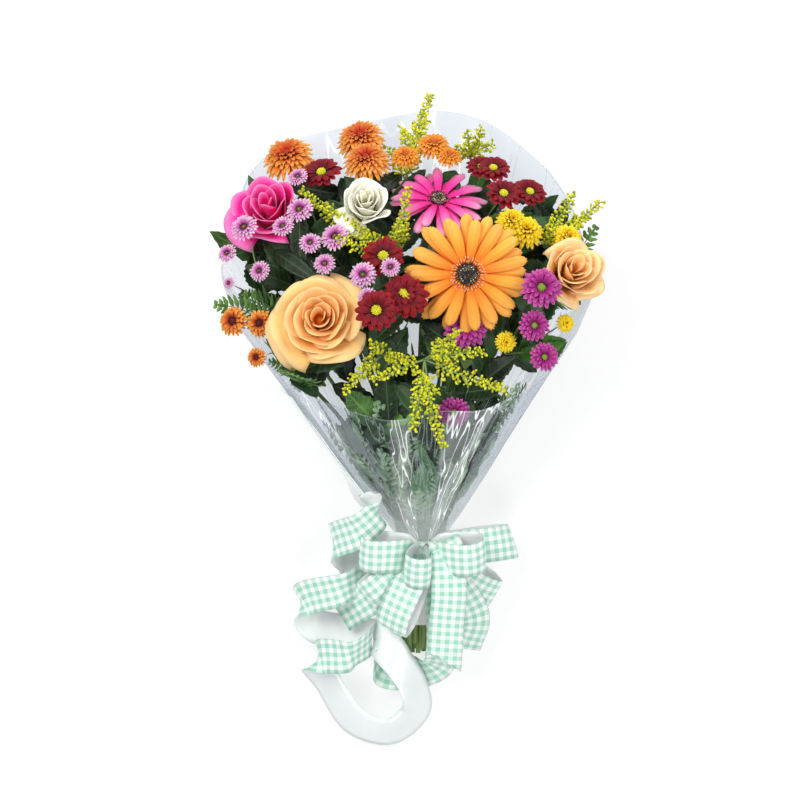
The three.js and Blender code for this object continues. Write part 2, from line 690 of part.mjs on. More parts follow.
const HEADS = {
  lilac: (r) => [
    ...petalRims({ petals: 8, reach: r, root: r * 0.62, rise: r * 0.12 }),
    roundRing(4, r * 0.42, r * 0.1), roundRing(4, r * 0.26, r * 0.36),
  ],
  red: (r) => [
    ...petalRims({ petals: 8, reach: r, root: r * 0.5, rise: r * 0.1, corners: 2 }),
    roundRing(4, r * 0.3, r * 0.08), roundRing(4, r * 0.2, r * 0.26),
  ],
  purple: (r) => [
    ...petalRims({ petals: r > 15 ? 10 : 8, reach: r, root: r * 0.58, rise: r * 0.05 }),
    roundRing(4, r * 0.3, r * 0.06),
    ...petalRims({ petals: r > 15 ? 8 : 6, reach: r * 0.74, root: r * 0.42,
      rise: r * 0.26 }).map(raise(r * 0.1)),
    roundRing(4, r * 0.22, r * 0.24), roundRing(3, r * 0.12, r * 0.38),
  ],
  bronze: (r) => [
    ...petalRims({ petals: r > 15 ? 11 : 8, reach: r, root: r * 0.62, rise: -r * 0.05 }),
    roundRing(4, r * 0.4, r * 0.04),
    ...petalRims({ petals: r > 15 ? 8 : 6, reach: r * 0.74, root: r * 0.45,
      rise: r * 0.26 }).map(raise(r * 0.1)),
    roundRing(4, r * 0.32, r * 0.28), roundRing(3, r * 0.18, r * 0.5),
  ],
  button: (r) => [
    ...petalRims({ petals: 9, reach: r, root: r * 0.72, rise: -r * 0.1 }),
    roundRing(5, r * 0.6, r * 0.16), roundRing(4, r * 0.3, r * 0.36),
  ],
};
HEADS.yellow = HEADS.bronze;

function raise(height) {
  return (ring) => ring.map(({ angle, point }) => ({ angle, point: point.setZ(point.z + height) }));
}

// Each head: x, y, how far it sinks below the dome, radius; facing is added to the dome's own.
const SPRAYS = [
  { name: 'santini_lilac_left', finish: 'lilac', head: 'lilac',
    heads: [[-144, 272, 0, 12], [-139, 248, 4, 9.4], [-168, 264, 2, 8.6], [-166, 238, 4, 5.5]] },
  { name: 'santini_lilac_middle', finish: 'lilac', head: 'lilac',
    heads: [[-119, 285, -22, 9.4], [-104, 300, -20, 12], [-96, 271, -8, 9.4], [-73, 276, -6, 12.5],
      [-83, 253, 0, 9.4], [-104, 322, 0, 8.6]] },
  { name: 'santini_lilac_right', finish: 'lilac', head: 'lilac',
    heads: [[-50, 243, -10, 11.6], [-46, 224, -12, 8.4], [-27, 249, -16, 8.4]] },
  { name: 'daisy_red_front', finish: 'red', head: 'red',
    heads: [[-33, 259, 4, 18], [-22, 231, 2, 14.6], [-4, 217, 0, 18.4], [-40, 205, 2, 17.6]] },
  { name: 'daisy_red_left', finish: 'red', head: 'red', heads: [[-87, 335, 2, 17]] },
  { name: 'daisy_red_right', finish: 'red', head: 'red',
    heads: [[68, 313, 0, 15.4], [72, 338, 6, 15], [94, 317, 0, 14.6], [50, 340, 10, 13]] },
  { name: 'daisy_purple_middle', finish: 'purple', head: 'purple', heads: [[38, 202, 26, 20]] },
  { name: 'daisy_purple_right', finish: 'purple', head: 'purple',
    heads: [[98, 228, 0, 17.6], [74, 240, 14, 12.8], [94, 201, 4, 13.5], [103, 174, 4, 12.6]] },
  { name: 'daisy_purple_lip', finish: 'purple', head: 'purple', heads: [[27, 128, 24, 13.5]] },
  { name: 'mum_orange_left', finish: 'bronze', head: 'bronze', heads: [[-117, 349, 0, 23]] },
  { name: 'mum_orange_middle', finish: 'bronze', head: 'bronze', heads: [[-53, 366, 0, 21.5],
    [-48, 343, -4, 20.5]] },
  { name: 'mum_orange_right', finish: 'bronze', head: 'button',
    heads: [[8, 362, -2, 15], [-14, 348, -8, 12.5], [25, 350, -2, 11]] },
  { name: 'santini_bronze', finish: 'bronze', head: 'lilac',
    heads: [[-162, 205, 6, 13], [-138, 203, 8, 12], [-141, 174, 4, 8.6]] },
  { name: 'pompon_yellow_right', finish: 'yellow', head: 'yellow',
    heads: [[73, 292, 8, 13.8], [92, 279, 6, 15.4], [125, 276, 14, 13.8]] },
  { name: 'pompon_yellow_low', finish: 'yellow', head: 'yellow', heads: [[122, 203, 10, 8],
    [71, 187, 24, 9.4]] },
];

// Finds a free place for a head near its own and a free course for its stalk.
function placeHead([x, y, sink, radius], head, makeStalk) {
  const facing = domeFacing(x, y).add(vec(spread(0.12), spread(0.12), 0)).normalize();
  const top = vec(x, y, domeHeight(x, y) - sink);
  const rings = HEADS[head](radius);
  const trial = loft([roundRing(3, 2, -STALK), ...rings]);
  for (let attempt = 0; attempt < 30; attempt += 1) {
    const slide = Math.ceil(attempt / 2) * (attempt % 2 === 0 ? 1.6 : -1.6);
    const aside = vec(spread(attempt * 0.22), spread(attempt * 0.22), 0);
    const at = top.clone().addScaledVector(facing, slide).add(aside);
    if (isClear(stand(trial, at, facing))) {
      const foot = at.addScaledVector(facing, -STALK);
      const flower = makeStalk(foot, facing, rings.map(raise(STALK)));
      if (flower) {
        return flower;
      }
    }
  }
  return null;
}

function buildSpray({ name, finish, head, heads }) {
  const places = heads.map(([x, y, sink]) => vec(x, y, domeHeight(x, y) - sink));
  const middle = places.reduce((sum, place) => sum.add(place), vec(0, 0, 0)).divideScalar(heads.length);
  const down = domeFacing(middle.x, middle.y);
  const neck = vec(0, NECK_HALF, NECK_HEIGHT);
  const hub = middle.clone().addScaledVector(down, -40).lerp(neck, 0.14);
  if (heads.length === 1) {
    addNode(name, FINISH[finish], [placeHead(heads[0], head, (foot, facing, rings) => stemTo(foot,
      facing, 1.8, rings))]);
    return;
  }
  const towards = hub.clone().sub(neck).normalize();
  const { stem, place } = stemNear(hub, towards.clone().lerp(down, 0.3).normalize(), 1.9);
  const flowers = heads.map((spec) => placeHead(spec, head, (foot, facing, rings) => {
    const way = foot.clone().sub(place).normalize().lerp(towards, 0.4).normalize();
    const root = place.clone().addScaledVector(way, -0.6);
    return branch(root, way, foot, facing, [1.3, 1.2], { tries: 30, head: rings });
  }));
  addNode(name, FINISH[finish], [stem, ...flowers]);
}

// ---- Goldenrod ------------------------------------------------------------------------------

// Each spray: the root and tip of its plume and the ends of its side twigs.
const GOLDENROD = [
  { name: 'goldenrod_tall', root: [-14, 330, 70], tip: [8, 409, 30],
    twigs: [[-16, 378, 50], [-30, 360, 66], [4, 386, 44]] },
  { name: 'goldenrod_back', root: [42, 350, 56], tip: [52, 376, 76],
    twigs: [[30, 358, 84], [62, 362, 68], [40, 372, 78]] },
  { name: 'goldenrod_middle', root: [-22, 262, 128], tip: [-12, 320, 126],
    twigs: [[-104, 319, 106], [-84, 305, 124], [-72, 275, 152], [-20, 290, 146]] },
  { name: 'goldenrod_right', root: [104, 272, 106], tip: [156, 310, 84],
    twigs: [[112, 282, 116], [132, 316, 88], [140, 296, 96]] },
  { name: 'goldenrod_front', root: [2, 172, 156], tip: [17, 99, 167],
    twigs: [[-42, 154, 170], [52, 178, 172], [70, 146, 162], [-8, 113, 166], [30, 196, 180]] },
  { name: 'goldenrod_low', root: [-34, 176, 142], tip: [-66, 145, 156], twigs: [[-14, 172, 168],
    [-44, 186, 160]] },
];

// A twig whose buds stand off it to one side and the other.
function buddedTwig(from, to, count) {
  const way = to.clone().sub(from).normalize();
  const across = way.clone().cross(UP).normalize();
  return firstClear(30, (attempt) => {
    const bow = spread(attempt * 0.8);
    const points = [from];
    const radii = [1.1];
    for (let k = 0; k < count; k += 1) {
      const share = mix(0.22, 0.98, k / (count - 1));
      const at = from.clone().lerp(to, share).addScaledVector(across, bow * Math.sin(Math.PI * share));
      const aside = k % 2 === 0 ? 1.4 : -1.4;
      points.push(at.clone().addScaledVector(way, -3));
      radii.push(0.7);
      points.push(at.clone().addScaledVector(across, aside).addScaledVector(UP, 0.8));
      radii.push(mix(4.2, 3, share));
    }
    points.push(to.clone().addScaledVector(way, 3));
    radii.push(0.6);
    return grow(points, radii, 3, way);
  });
}

function buildGoldenrod({ name, root, tip, twigs }) {
  const aim = vec(...tip).sub(vec(...root)).normalize();
  const { stem, place } = stemNear(vec(...root), aim, 1.7);
  const ends = [tip, ...twigs].map((end) => vec(...end));
  const pieces = ends.map((end, k) => {
    const back = place.clone().sub(end).setLength(0.5 + 0.53 * k);
    return buddedTwig(place.clone().add(back), end, k === 0 ? 5 : 3);
  });
  addNode(name, FINISH.goldenrod, [stem, ...pieces]);
}

// ---- Greenery -------------------------------------------------------------------------------

// Each leafy stem: its forks, and at each fork the leaves that leave it, as tip, width and cut depth.
const GREENS = [
  { name: 'ferns_left', forks: [
    { at: [-84, 150, 92], leaves: [[[-184, 172, 120], 26, 0.45], [[-150, 190, 104], 22, 0.5]] },
    { at: [-112, 200, 80], leaves: [[[-184, 214, 100], 26, 0.45], [[-176, 250, 82], 24, 0.5]] },
    { at: [-112, 262, 56], leaves: [[[-176, 286, 72], 26, 0.78], [[-152, 322, 60], 26, 0.78],
      [[-94, 334, 50], 24, 0.78]] },
  ] },
  { name: 'fern_right', forks: [
    { at: [104, 222, 80], leaves: [[[152, 288, 90], 24, 0.45], [[146, 240, 86], 22, 0.5]] },
  ] },
  { name: 'leaves_right', forks: [
    { at: [84, 176, 100], leaves: [[[134, 216, 118], 24, 0.78], [[128, 176, 110], 22, 0.78],
      [[60, 220, 112], 20, 0.78]] },
  ] },
  { name: 'leaves_middle', forks: [
    { at: [50, 190, 84], leaves: [[[0, 200, 116], 26, 0.78], [[68, 160, 112], 22, 0.78]] },
  ] },
];

// Leaves deep in the back and low in the front, which the other stems have to pass.
const INSIDE = [
  { name: 'leaves_back', forks: [
    { at: [30, 276, 72], leaves: [[[-14, 318, 84], 24, 0.78], [[100, 300, 84], 24, 0.78],
      [[56, 350, 56], 22, 0.78]] },
  ] },
  { name: 'fern_inside_left', forks: [
    { at: [-34, 62, 66], leaves: [[[-92, 110, 100], 24, 0.45], [[-52, 112, 98], 24, 0.45],
      [[-66, 84, 76], 20, 0.5]] },
    { at: [-36, 118, 108], leaves: [[[-90, 138, 130], 24, 0.8], [[-14, 106, 124], 16, 0.8],
      [[20, 148, 128], 22, 0.78]] },
  ] },
  { name: 'fern_inside_right', forks: [
    { at: [32, 62, 68], leaves: [[[84, 116, 98], 26, 0.45], [[56, 122, 112], 24, 0.45],
      [[62, 84, 80], 20, 0.5]] },
  ] },
];

function buildGreens({ name, forks }) {
  const neck = vec(0, NECK_HALF, NECK_HEIGHT);
  const pieces = [];
  let fork = null;
  forks.forEach(({ at, leaves }) => {
    const end = vec(...at);
    const towards = end.clone().sub(neck).normalize();
    if (fork) {
      const twig = branch(fork.clone().addScaledVector(towards, -0.6), towards, end, towards, [1.5, 1.4]);
      pieces.push(twig);
      fork = end;
    } else {
      const { stem, place } = stemNear(end, towards, 1.6);
      pieces.push(stem);
      fork = place;
    }
    leaves.forEach(([tip, width, notch], k) => {
      const face = vec(spread(0.2), spread(0.2) - 0.2, 1).normalize();
      const cut = notch < 0.6 ? { rows: 8, cols: 1 } : { rows: 5, cols: 2 };
      const to = vec(...tip);
      const from = fork.clone().add(fork.clone().sub(to).setLength(0.7 + 0.31 * k));
      pieces.push(clearLeaf({ from, to, face, width, notch, ...cut }, 60));
    });
  });
  addNode(name, FINISH.darkGreen, pieces);
}

// ---- The bouquet ----------------------------------------------------------------------------

buildFilm();
buildRibbon();
GERBERAS.forEach(buildGerbera);
ROSES.forEach(buildRose);
INSIDE.forEach(buildGreens);
SPRAYS.forEach(buildSpray);
GOLDENROD.forEach(buildGoldenrod);
GREENS.forEach(buildGreens);

const extent = new THREE.Box3().setFromObject(arrangement);
const centre = extent.getCenter(new THREE.Vector3());
arrangement.position.set(-centre.x, -centre.y, -extent.min.z);

export default arrangement;
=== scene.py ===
"""Mixed flower bouquet, wrapped in clear film and tied with a gingham ribbon: the dressed model."""

import json
import logging
import math
from collections.abc import Callable, Sequence
from dataclasses import dataclass, field
from enum import Enum
from functools import lru_cache, partial

import bpy
import numpy as np
from mathutils import Matrix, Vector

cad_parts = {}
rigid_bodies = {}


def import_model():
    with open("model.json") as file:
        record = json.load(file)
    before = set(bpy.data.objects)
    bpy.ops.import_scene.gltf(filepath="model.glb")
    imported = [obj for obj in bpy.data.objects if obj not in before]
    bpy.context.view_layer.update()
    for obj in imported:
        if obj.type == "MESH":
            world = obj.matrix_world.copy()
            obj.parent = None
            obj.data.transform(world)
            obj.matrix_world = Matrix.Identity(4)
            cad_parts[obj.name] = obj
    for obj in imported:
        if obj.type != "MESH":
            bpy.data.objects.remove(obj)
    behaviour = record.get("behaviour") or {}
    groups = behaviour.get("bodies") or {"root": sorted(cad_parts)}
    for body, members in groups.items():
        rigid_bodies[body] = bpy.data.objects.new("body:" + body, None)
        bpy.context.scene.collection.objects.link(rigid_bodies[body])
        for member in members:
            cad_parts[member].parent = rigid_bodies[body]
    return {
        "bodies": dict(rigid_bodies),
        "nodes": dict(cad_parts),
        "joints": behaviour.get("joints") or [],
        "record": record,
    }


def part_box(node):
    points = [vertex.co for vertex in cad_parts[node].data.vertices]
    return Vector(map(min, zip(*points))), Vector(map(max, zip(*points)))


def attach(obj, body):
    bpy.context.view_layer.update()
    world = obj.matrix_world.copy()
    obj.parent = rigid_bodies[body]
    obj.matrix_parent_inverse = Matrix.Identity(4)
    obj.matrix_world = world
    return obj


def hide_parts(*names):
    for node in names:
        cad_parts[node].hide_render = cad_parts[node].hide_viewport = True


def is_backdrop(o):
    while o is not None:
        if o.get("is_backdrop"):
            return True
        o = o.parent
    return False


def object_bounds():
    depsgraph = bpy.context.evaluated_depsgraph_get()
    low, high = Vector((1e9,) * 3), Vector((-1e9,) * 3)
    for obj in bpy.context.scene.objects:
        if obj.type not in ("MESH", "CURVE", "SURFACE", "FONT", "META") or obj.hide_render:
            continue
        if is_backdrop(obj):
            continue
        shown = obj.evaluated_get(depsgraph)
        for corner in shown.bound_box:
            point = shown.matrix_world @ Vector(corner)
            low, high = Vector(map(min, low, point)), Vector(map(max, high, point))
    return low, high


LOG = logging.getLogger("bouquet")
MM = 0.001
NECK_HEIGHT = 22.0
NECK_HALF = 12.0
FILM_NECK = 19.1
FILM_WIDE = 0.63
FILM_DEEP = 0.42
FILM_RISE = math.radians(21.3)
FILM_LEAN = math.radians(2.9)
FILM_FRONT = 150.0
FILM_BACK = 350.0
FILM_SLEEVE = 50.0
RIBBON_WIDTH = 31.0
RIBBON_WALL = 0.45
TIE_RADIUS = 20.4
TIE_WIDTH = 18.0
ROSE_WALL = 0.55
FROND_NOTCH = 0.6
FEWEST_CORNERS = 8
TWIG_GAP = 2.3
BUD_GAP = 1.25
CUT_ENDS = -70.0
UP = np.array([0.0, 0.0, 1.0])
KNOT = np.array([1.0, 3.0, 52.2])
GOLDEN_ANGLE = math.pi * (3 - math.sqrt(5))

Colour = tuple[float, float, float]
Point = Sequence[float]
Chance = np.random.Generator
Socket = bpy.types.NodeSocket
Input = Socket | float
Piece = bpy.types.Object
Material = bpy.types.Material


class Look(Enum):
    """The part of a bloom or stem that a face belongs to, which decides its material."""

    PETAL = 0
    HEART = 1
    GREEN = 2


class HeadKind(Enum):
    """The sorts of small flower heads in the sprays."""

    LILAC = "lilac"
    RED = "red"
    PURPLE = "purple"
    BRONZE = "bronze"
    BUTTON = "button"
    YELLOW = "yellow"
    SANTINI = "santini"


# ---- Vectors and curves ----------------------------------------------------------------------


def unit(vector: Point) -> np.ndarray:
    """Returns the vector at length one."""
    found = np.asarray(vector, float)
    return found / max(float(np.linalg.norm(found)), 1e-9)


def mix(a: float, b: float, share: float) -> float:
    """Returns the value a share of the way from a to b."""
    return a + (b - a) * share


def draw(chance: Chance, low: float = 0.0, high: float = 1.0) -> float:
    """Draws a number between low and high."""
    return float(chance.uniform(low, high))


def catmull(points: Sequence[Point], shares: np.ndarray) -> np.ndarray:
    """Follows the centripetal curve through the points.

    Args:
        points: Stations that the curve passes.
        shares: Places along the curve, from 0 to 1.

    Returns:
        One point for each share.
    """
    stations = np.asarray(points, float)
    last = len(stations) - 1
    out = []
    for share in np.clip(shares, 0, 1):
        place = last * float(share)
        start = min(int(place), last - 1)
        weight = place - start
        p1, p2 = stations[start], stations[start + 1]
        p0 = stations[start - 1] if start > 0 else 2 * p1 - p2
        p3 = stations[start + 2] if start + 2 <= last else 2 * p2 - p1
        d0, d1, d2 = (math.sqrt(max(float(np.linalg.norm(b - a)), 1e-8)) for a, b in ((p0, p1), (p1, p2), (p2, p3)))
        d0, d2 = (d0 if d0 > 1e-3 else d1), (d2 if d2 > 1e-3 else d1)
        m1 = ((p1 - p0) / d0 - (p2 - p0) / (d0 + d1) + (p2 - p1) / d1) * d1
        m2 = ((p2 - p1) / d1 - (p3 - p1) / (d1 + d2) + (p3 - p2) / d2) * d1
        w2, w3 = weight * weight, weight**3
        out.append((2 * w3 - 3 * w2 + 1) * p1 + (w3 - 2 * w2 + weight) * m1 + (3 * w2 - 2 * w3) * p2 + (w3 - w2) * m2)
    return np.array(out)


def stand(facing: Point, spin: float = 0.0) -> np.ndarray:
    """Makes the turn that takes the z axis to a facing.

    Args:
        facing: Direction that the z axis ends in.
        spin: Turn about that axis, in radians.

    Returns:
        A 3 x 3 matrix for row vectors on the left.
    """
    axis = unit(facing)
    side = unit(np.cross([0.0, 1.0, 0.0] if abs(axis[1]) < 0.9 else [1.0, 0.0, 0.0], axis))
    other = np.cross(axis, side)
    c, s = math.cos(spin), math.sin(spin)
    return np.array([side * c + other * s, other * c - side * s, axis])


def spun(angle: float) -> np.ndarray:
    """Returns the turn by an angle about the z axis, for row vectors on the left."""
    c, s = math.cos(angle), math.sin(angle)
    return np.array([[c, s, 0], [-s, c, 0], [0, 0, 1]])


def from_axis(points: np.ndarray, place: np.ndarray, facing: np.ndarray) -> tuple[np.ndarray, np.ndarray]:
    """Returns how far points lie along an axis through a place, and how far from it."""
    off = points - place
    up = off @ facing
    return up, np.linalg.norm(off - up[:, None] * facing, axis=1)


# ---- Forms -----------------------------------------------------------------------------------


def primitive(add: Callable[..., object], **settings: object) -> Piece:
    """Adds a mesh primitive with nothing else selected and returns it."""
    bpy.ops.object.select_all(action="DESELECT")
    add(**settings)
    return bpy.context.active_object


@lru_cache(maxsize=None)
def grid_patch(rows: int, cols: int) -> tuple[np.ndarray, np.ndarray]:
    """Adds a grid primitive and reads its corners and faces.

    Args:
        rows: Faces along x.
        cols: Faces along y.

    Returns:
        Corners from -1 to 1 in x and y, and faces of four corners.
    """
    return take(primitive(bpy.ops.mesh.primitive_grid_add, x_subdivisions=rows, y_subdivisions=cols, size=2), 4)


@lru_cache(maxsize=None)
def ball_patch(subdivisions: int) -> tuple[np.ndarray, np.ndarray]:
    """Adds an icosphere of radius one and reads its corners and faces.

    Args:
        subdivisions: 1 has 20 faces and 2 has 80.

    Returns:
        Corners, and faces of three corners.
    """
    return take(primitive(bpy.ops.mesh.primitive_ico_sphere_add, subdivisions=subdivisions, radius=1), 3)


def read_corners(mesh: bpy.types.Mesh) -> np.ndarray:
    """Returns the mesh's corners, one to a row."""
    corners = np.zeros(len(mesh.vertices) * 3)
    mesh.vertices.foreach_get("co", corners)
    return corners.reshape(-1, 3)


def read_loops(mesh: bpy.types.Mesh) -> np.ndarray:
    """Returns the corner number of each face corner in turn."""
    loops = np.zeros(len(mesh.loops), int)
    mesh.loops.foreach_get("vertex_index", loops)
    return loops


def take(start: Piece, sides: int) -> tuple[np.ndarray, np.ndarray]:
    """Reads a primitive and removes it.

    Args:
        start: The primitive.
        sides: Corners of each face.

    Returns:
        Corners and faces.
    """
    mesh = start.data
    corners, faces = read_corners(mesh), read_loops(mesh).reshape(-1, sides)
    bpy.data.objects.remove(start)
    bpy.data.meshes.remove(mesh)
    return corners, faces


def edit_all(*steps: Callable[[], object]) -> None:
    """Runs mesh operators in edit mode, each on the whole active mesh."""
    bpy.ops.object.mode_set(mode="EDIT")
    for step in steps:
        bpy.ops.mesh.select_all(action="SELECT")
        step()
    bpy.ops.object.mode_set(mode="OBJECT")


def face_outward() -> None:
    """Turns the selected faces outward."""
    bpy.ops.mesh.normals_make_consistent(inside=False)


@dataclass
class Form:
    """Corners, faces and painted tones of a shape, in millimetres from the middle of the neck."""

    points: np.ndarray
    faces: list[np.ndarray]
    tone: np.ndarray
    looks: list[np.ndarray]

    @staticmethod
    def of(points: np.ndarray, faces: np.ndarray, tone: np.ndarray, look: Look = Look.PETAL) -> "Form":
        """Returns a form of one patch with one look."""
        return Form(points, [faces], tone, [np.full(len(faces), look.value)])

    @staticmethod
    def joined(forms: Sequence["Form"]) -> "Form":
        """Puts forms together.

        Args:
            forms: The forms, of which each keeps its own corners.

        Returns:
            One form.
        """
        faces, looks, start = [], [], 0
        for form in forms:
            faces.extend(part + start for part in form.faces)
            looks.extend(form.looks)
            start += len(form.points)
        return Form(np.concatenate([f.points for f in forms]), faces, np.concatenate([f.tone for f in forms]), looks)

    def moved(self, turn: np.ndarray, place: Point, size: float = 1.0) -> "Form":
        """Returns a copy that is scaled, then turned, then moved to its place."""
        return Form(self.points * size @ turn + np.asarray(place, float), self.faces, self.tone, self.looks)

    def toned(self, channel: int, value: float) -> "Form":
        """Returns a copy with one tone channel set all over."""
        tone = self.tone.copy()
        tone[:, channel] = value
        return Form(self.points, self.faces, tone, self.looks)


def patch(
    rows: int,
    cols: int,
    place: Callable[[np.ndarray, np.ndarray], np.ndarray],
    look: Look = Look.PETAL,
    shade: float = 0.5,
) -> Form:
    """Shapes a grid into a blade.

    Args:
        rows: Faces along the blade.
        cols: Faces across it.
        place: Gives corners from shares along, 0 to 1, and across, -1 to 1.
        look: What the blade is part of.
        shade: How deep in the bloom the blade sits, 0 for the heart; deeper blades get darker painted shade.

    Returns:
        The blade, its tone holding along, across and shade.
    """
    corners, faces = grid_patch(rows, cols)
    u, v = (corners[:, 0] + 1) / 2, corners[:, 1]
    tone = np.stack([u, (v + 1) / 2, np.full(len(u), shade), np.full(len(u), 0.5)], 1)
    return Form.of(place(u, v), faces, tone, look)


def bead(place: Point, size: Point, tone: Point, look: Look, fine: int = 1, turn: np.ndarray | None = None) -> Form:
    """Shapes a small closed ball.

    Args:
        place: Its middle.
        size: Half sizes along its own axes.
        tone: Tone values all over it.
        look: What it is part of.
        fine: Icosphere subdivisions.
        turn: Turn of its axes.

    Returns:
        The ball.
    """
    corners, faces = ball_patch(fine)
    points = corners * np.asarray(size, float) @ (np.eye(3) if turn is None else turn) + np.asarray(place, float)
    return Form.of(points, faces, np.tile(np.asarray(tone, float), (len(points), 1)), look)


def tube(line: np.ndarray, radii: np.ndarray, sides: int = 7, tone: Point = (0.5, 0.5, 0.5, 0.5)) -> Form:
    """Sweeps a closed round tube along a line.

    Args:
        line: Points that it follows.
        radii: Radius at each point.
        sides: Corners of its section.
        tone: Tone values all over it.

    Returns:
        The tube, with both ends shut.
    """
    ways = np.gradient(line, axis=0)
    side = unit(np.cross(ways[0], [0.31, 0.5, 0.81]))
    rings = []
    for at, way, radius in zip(line, ways, radii):
        way = unit(way)
        side = unit(side - way * float(side @ way))
        other = np.cross(way, side)
        angles = np.arange(sides) * 2 * math.pi / sides
        rings.append(at + radius * (np.cos(angles)[:, None] * side + np.sin(angles)[:, None] * other))
    points = np.concatenate([*rings, line[:1], line[-1:]])
    faces = []
    for ring in range(len(line) - 1):
        for k in range(sides):
            a, b = ring * sides + k, ring * sides + (k + 1) % sides
            faces.append([a, b, b + sides, a + sides])
    ends = []
    last = (len(line) - 1) * sides
    for k in range(sides):
        after = (k + 1) % sides
        ends.append([len(points) - 2, after, k])
        ends.append([len(points) - 1, last + k, last + after])
    form = Form.of(points, np.array(faces), np.tile(np.asarray(tone, float), (len(points), 1)), Look.GREEN)
    form.faces.append(np.array(ends))
    form.looks.append(np.full(len(ends), Look.GREEN.value))
    return form


# ---- Pieces ----------------------------------------------------------------------------------


@dataclass
class Workshop:
    """Turns forms into finished pieces in the place that the frame gives."""

    frame: dict
    neck: np.ndarray = field(init=False)

    def __post_init__(self) -> None:
        """Finds the middle of the neck on the table."""
        low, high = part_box("ribbon_tie")
        self.neck = np.array([(low.x + high.x) / 2, (low.y + high.y) / 2, 0.0])

    def mesh_piece(self, name: str, form: Form, materials: Sequence[Material]) -> Piece:
        """Makes an object of a form.

        Args:
            name: Name of the object.
            form: Its shape, in millimetres.
            materials: One material for each look, in order.

        Returns:
            The object, shaded smooth, at the origin.
        """
        mesh = bpy.data.meshes.new(name)
        faces = [face for part in form.faces for face in part.tolist()]
        mesh.from_pydata((form.points * MM + self.neck).tolist(), [], faces)
        tone = mesh.attributes.new("tone", "FLOAT_COLOR", "POINT")
        tone.data.foreach_set("color", form.tone.astype(np.float32).ravel())
        for material in materials:
            mesh.materials.append(material)
        looks = np.concatenate(form.looks)
        mesh.polygons.foreach_set("material_index", np.minimum(looks, len(materials) - 1).astype(np.int32))
        mesh.polygons.foreach_set("use_smooth", np.ones(len(looks), bool))
        mesh.update()
        piece = bpy.data.objects.new(name, mesh)
        bpy.context.scene.collection.objects.link(piece)
        return piece

    def choose(self, piece: Piece) -> None:
        """Selects only this piece and makes it active."""
        bpy.ops.object.select_all(action="DESELECT")
        piece.select_set(True)
        bpy.context.view_layer.objects.active = piece

    def thicken(self, piece: Piece, thickness: float, offset: float = 0.0, reverse: int = 0) -> None:
        """Gives blades a wall and shuts their edges.

        Args:
            piece: The object.
            thickness: Wall in millimetres.
            offset: -1 grows inwards, 1 outwards.
            reverse: Steps from the face's material to that of its back.
        """
        self.choose(piece)
        solid = piece.modifiers.new("wall", "SOLIDIFY")
        solid.thickness = thickness * MM
        solid.offset = offset
        solid.material_offset = reverse
        bpy.ops.object.modifier_apply(modifier=solid.name)

    def join(self, name: str, parts: Sequence[Piece]) -> Piece:
        """Joins objects into the first one and names it."""
        self.choose(parts[0])
        for part in parts:
            part.select_set(True)
        if len(parts) > 1:
            bpy.ops.object.join()
        parts[0].name = name
        return parts[0]

    def bloom_piece(
        self,
        name: str,
        blades: Sequence[Form],
        solids: Sequence[Form],
        materials: Sequence[Material],
        thickness: float = 0.32,
    ) -> Piece:
        """Makes one piece of thin blades and closed solids.

        Args:
            name: Name of the piece.
            blades: Forms that get a wall.
            solids: Forms that are closed already.
            materials: One material for each look.
            thickness: Wall of the blades in millimetres.

        Returns:
            The piece.
        """
        parts = []
        if blades:
            sheet = self.mesh_piece(name, Form.joined(blades), materials)
            self.thicken(sheet, thickness)
            parts.append(sheet)
        if solids:
            parts.append(self.mesh_piece(name + "_solid", Form.joined(solids), materials))
        return self.join(name, parts)

    def hand_over(self, piece: Piece, nodes: Sequence[str] = ()) -> None:
        """Sets what a piece rides on and the nodes it stands for.

        Args:
            piece: The finished piece.
            nodes: Frame nodes that it replaces.
        """
        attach(piece, "root")
        if nodes:
            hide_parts(*nodes)
        LOG.info("%s: %d faces", piece.name, len(piece.data.polygons))


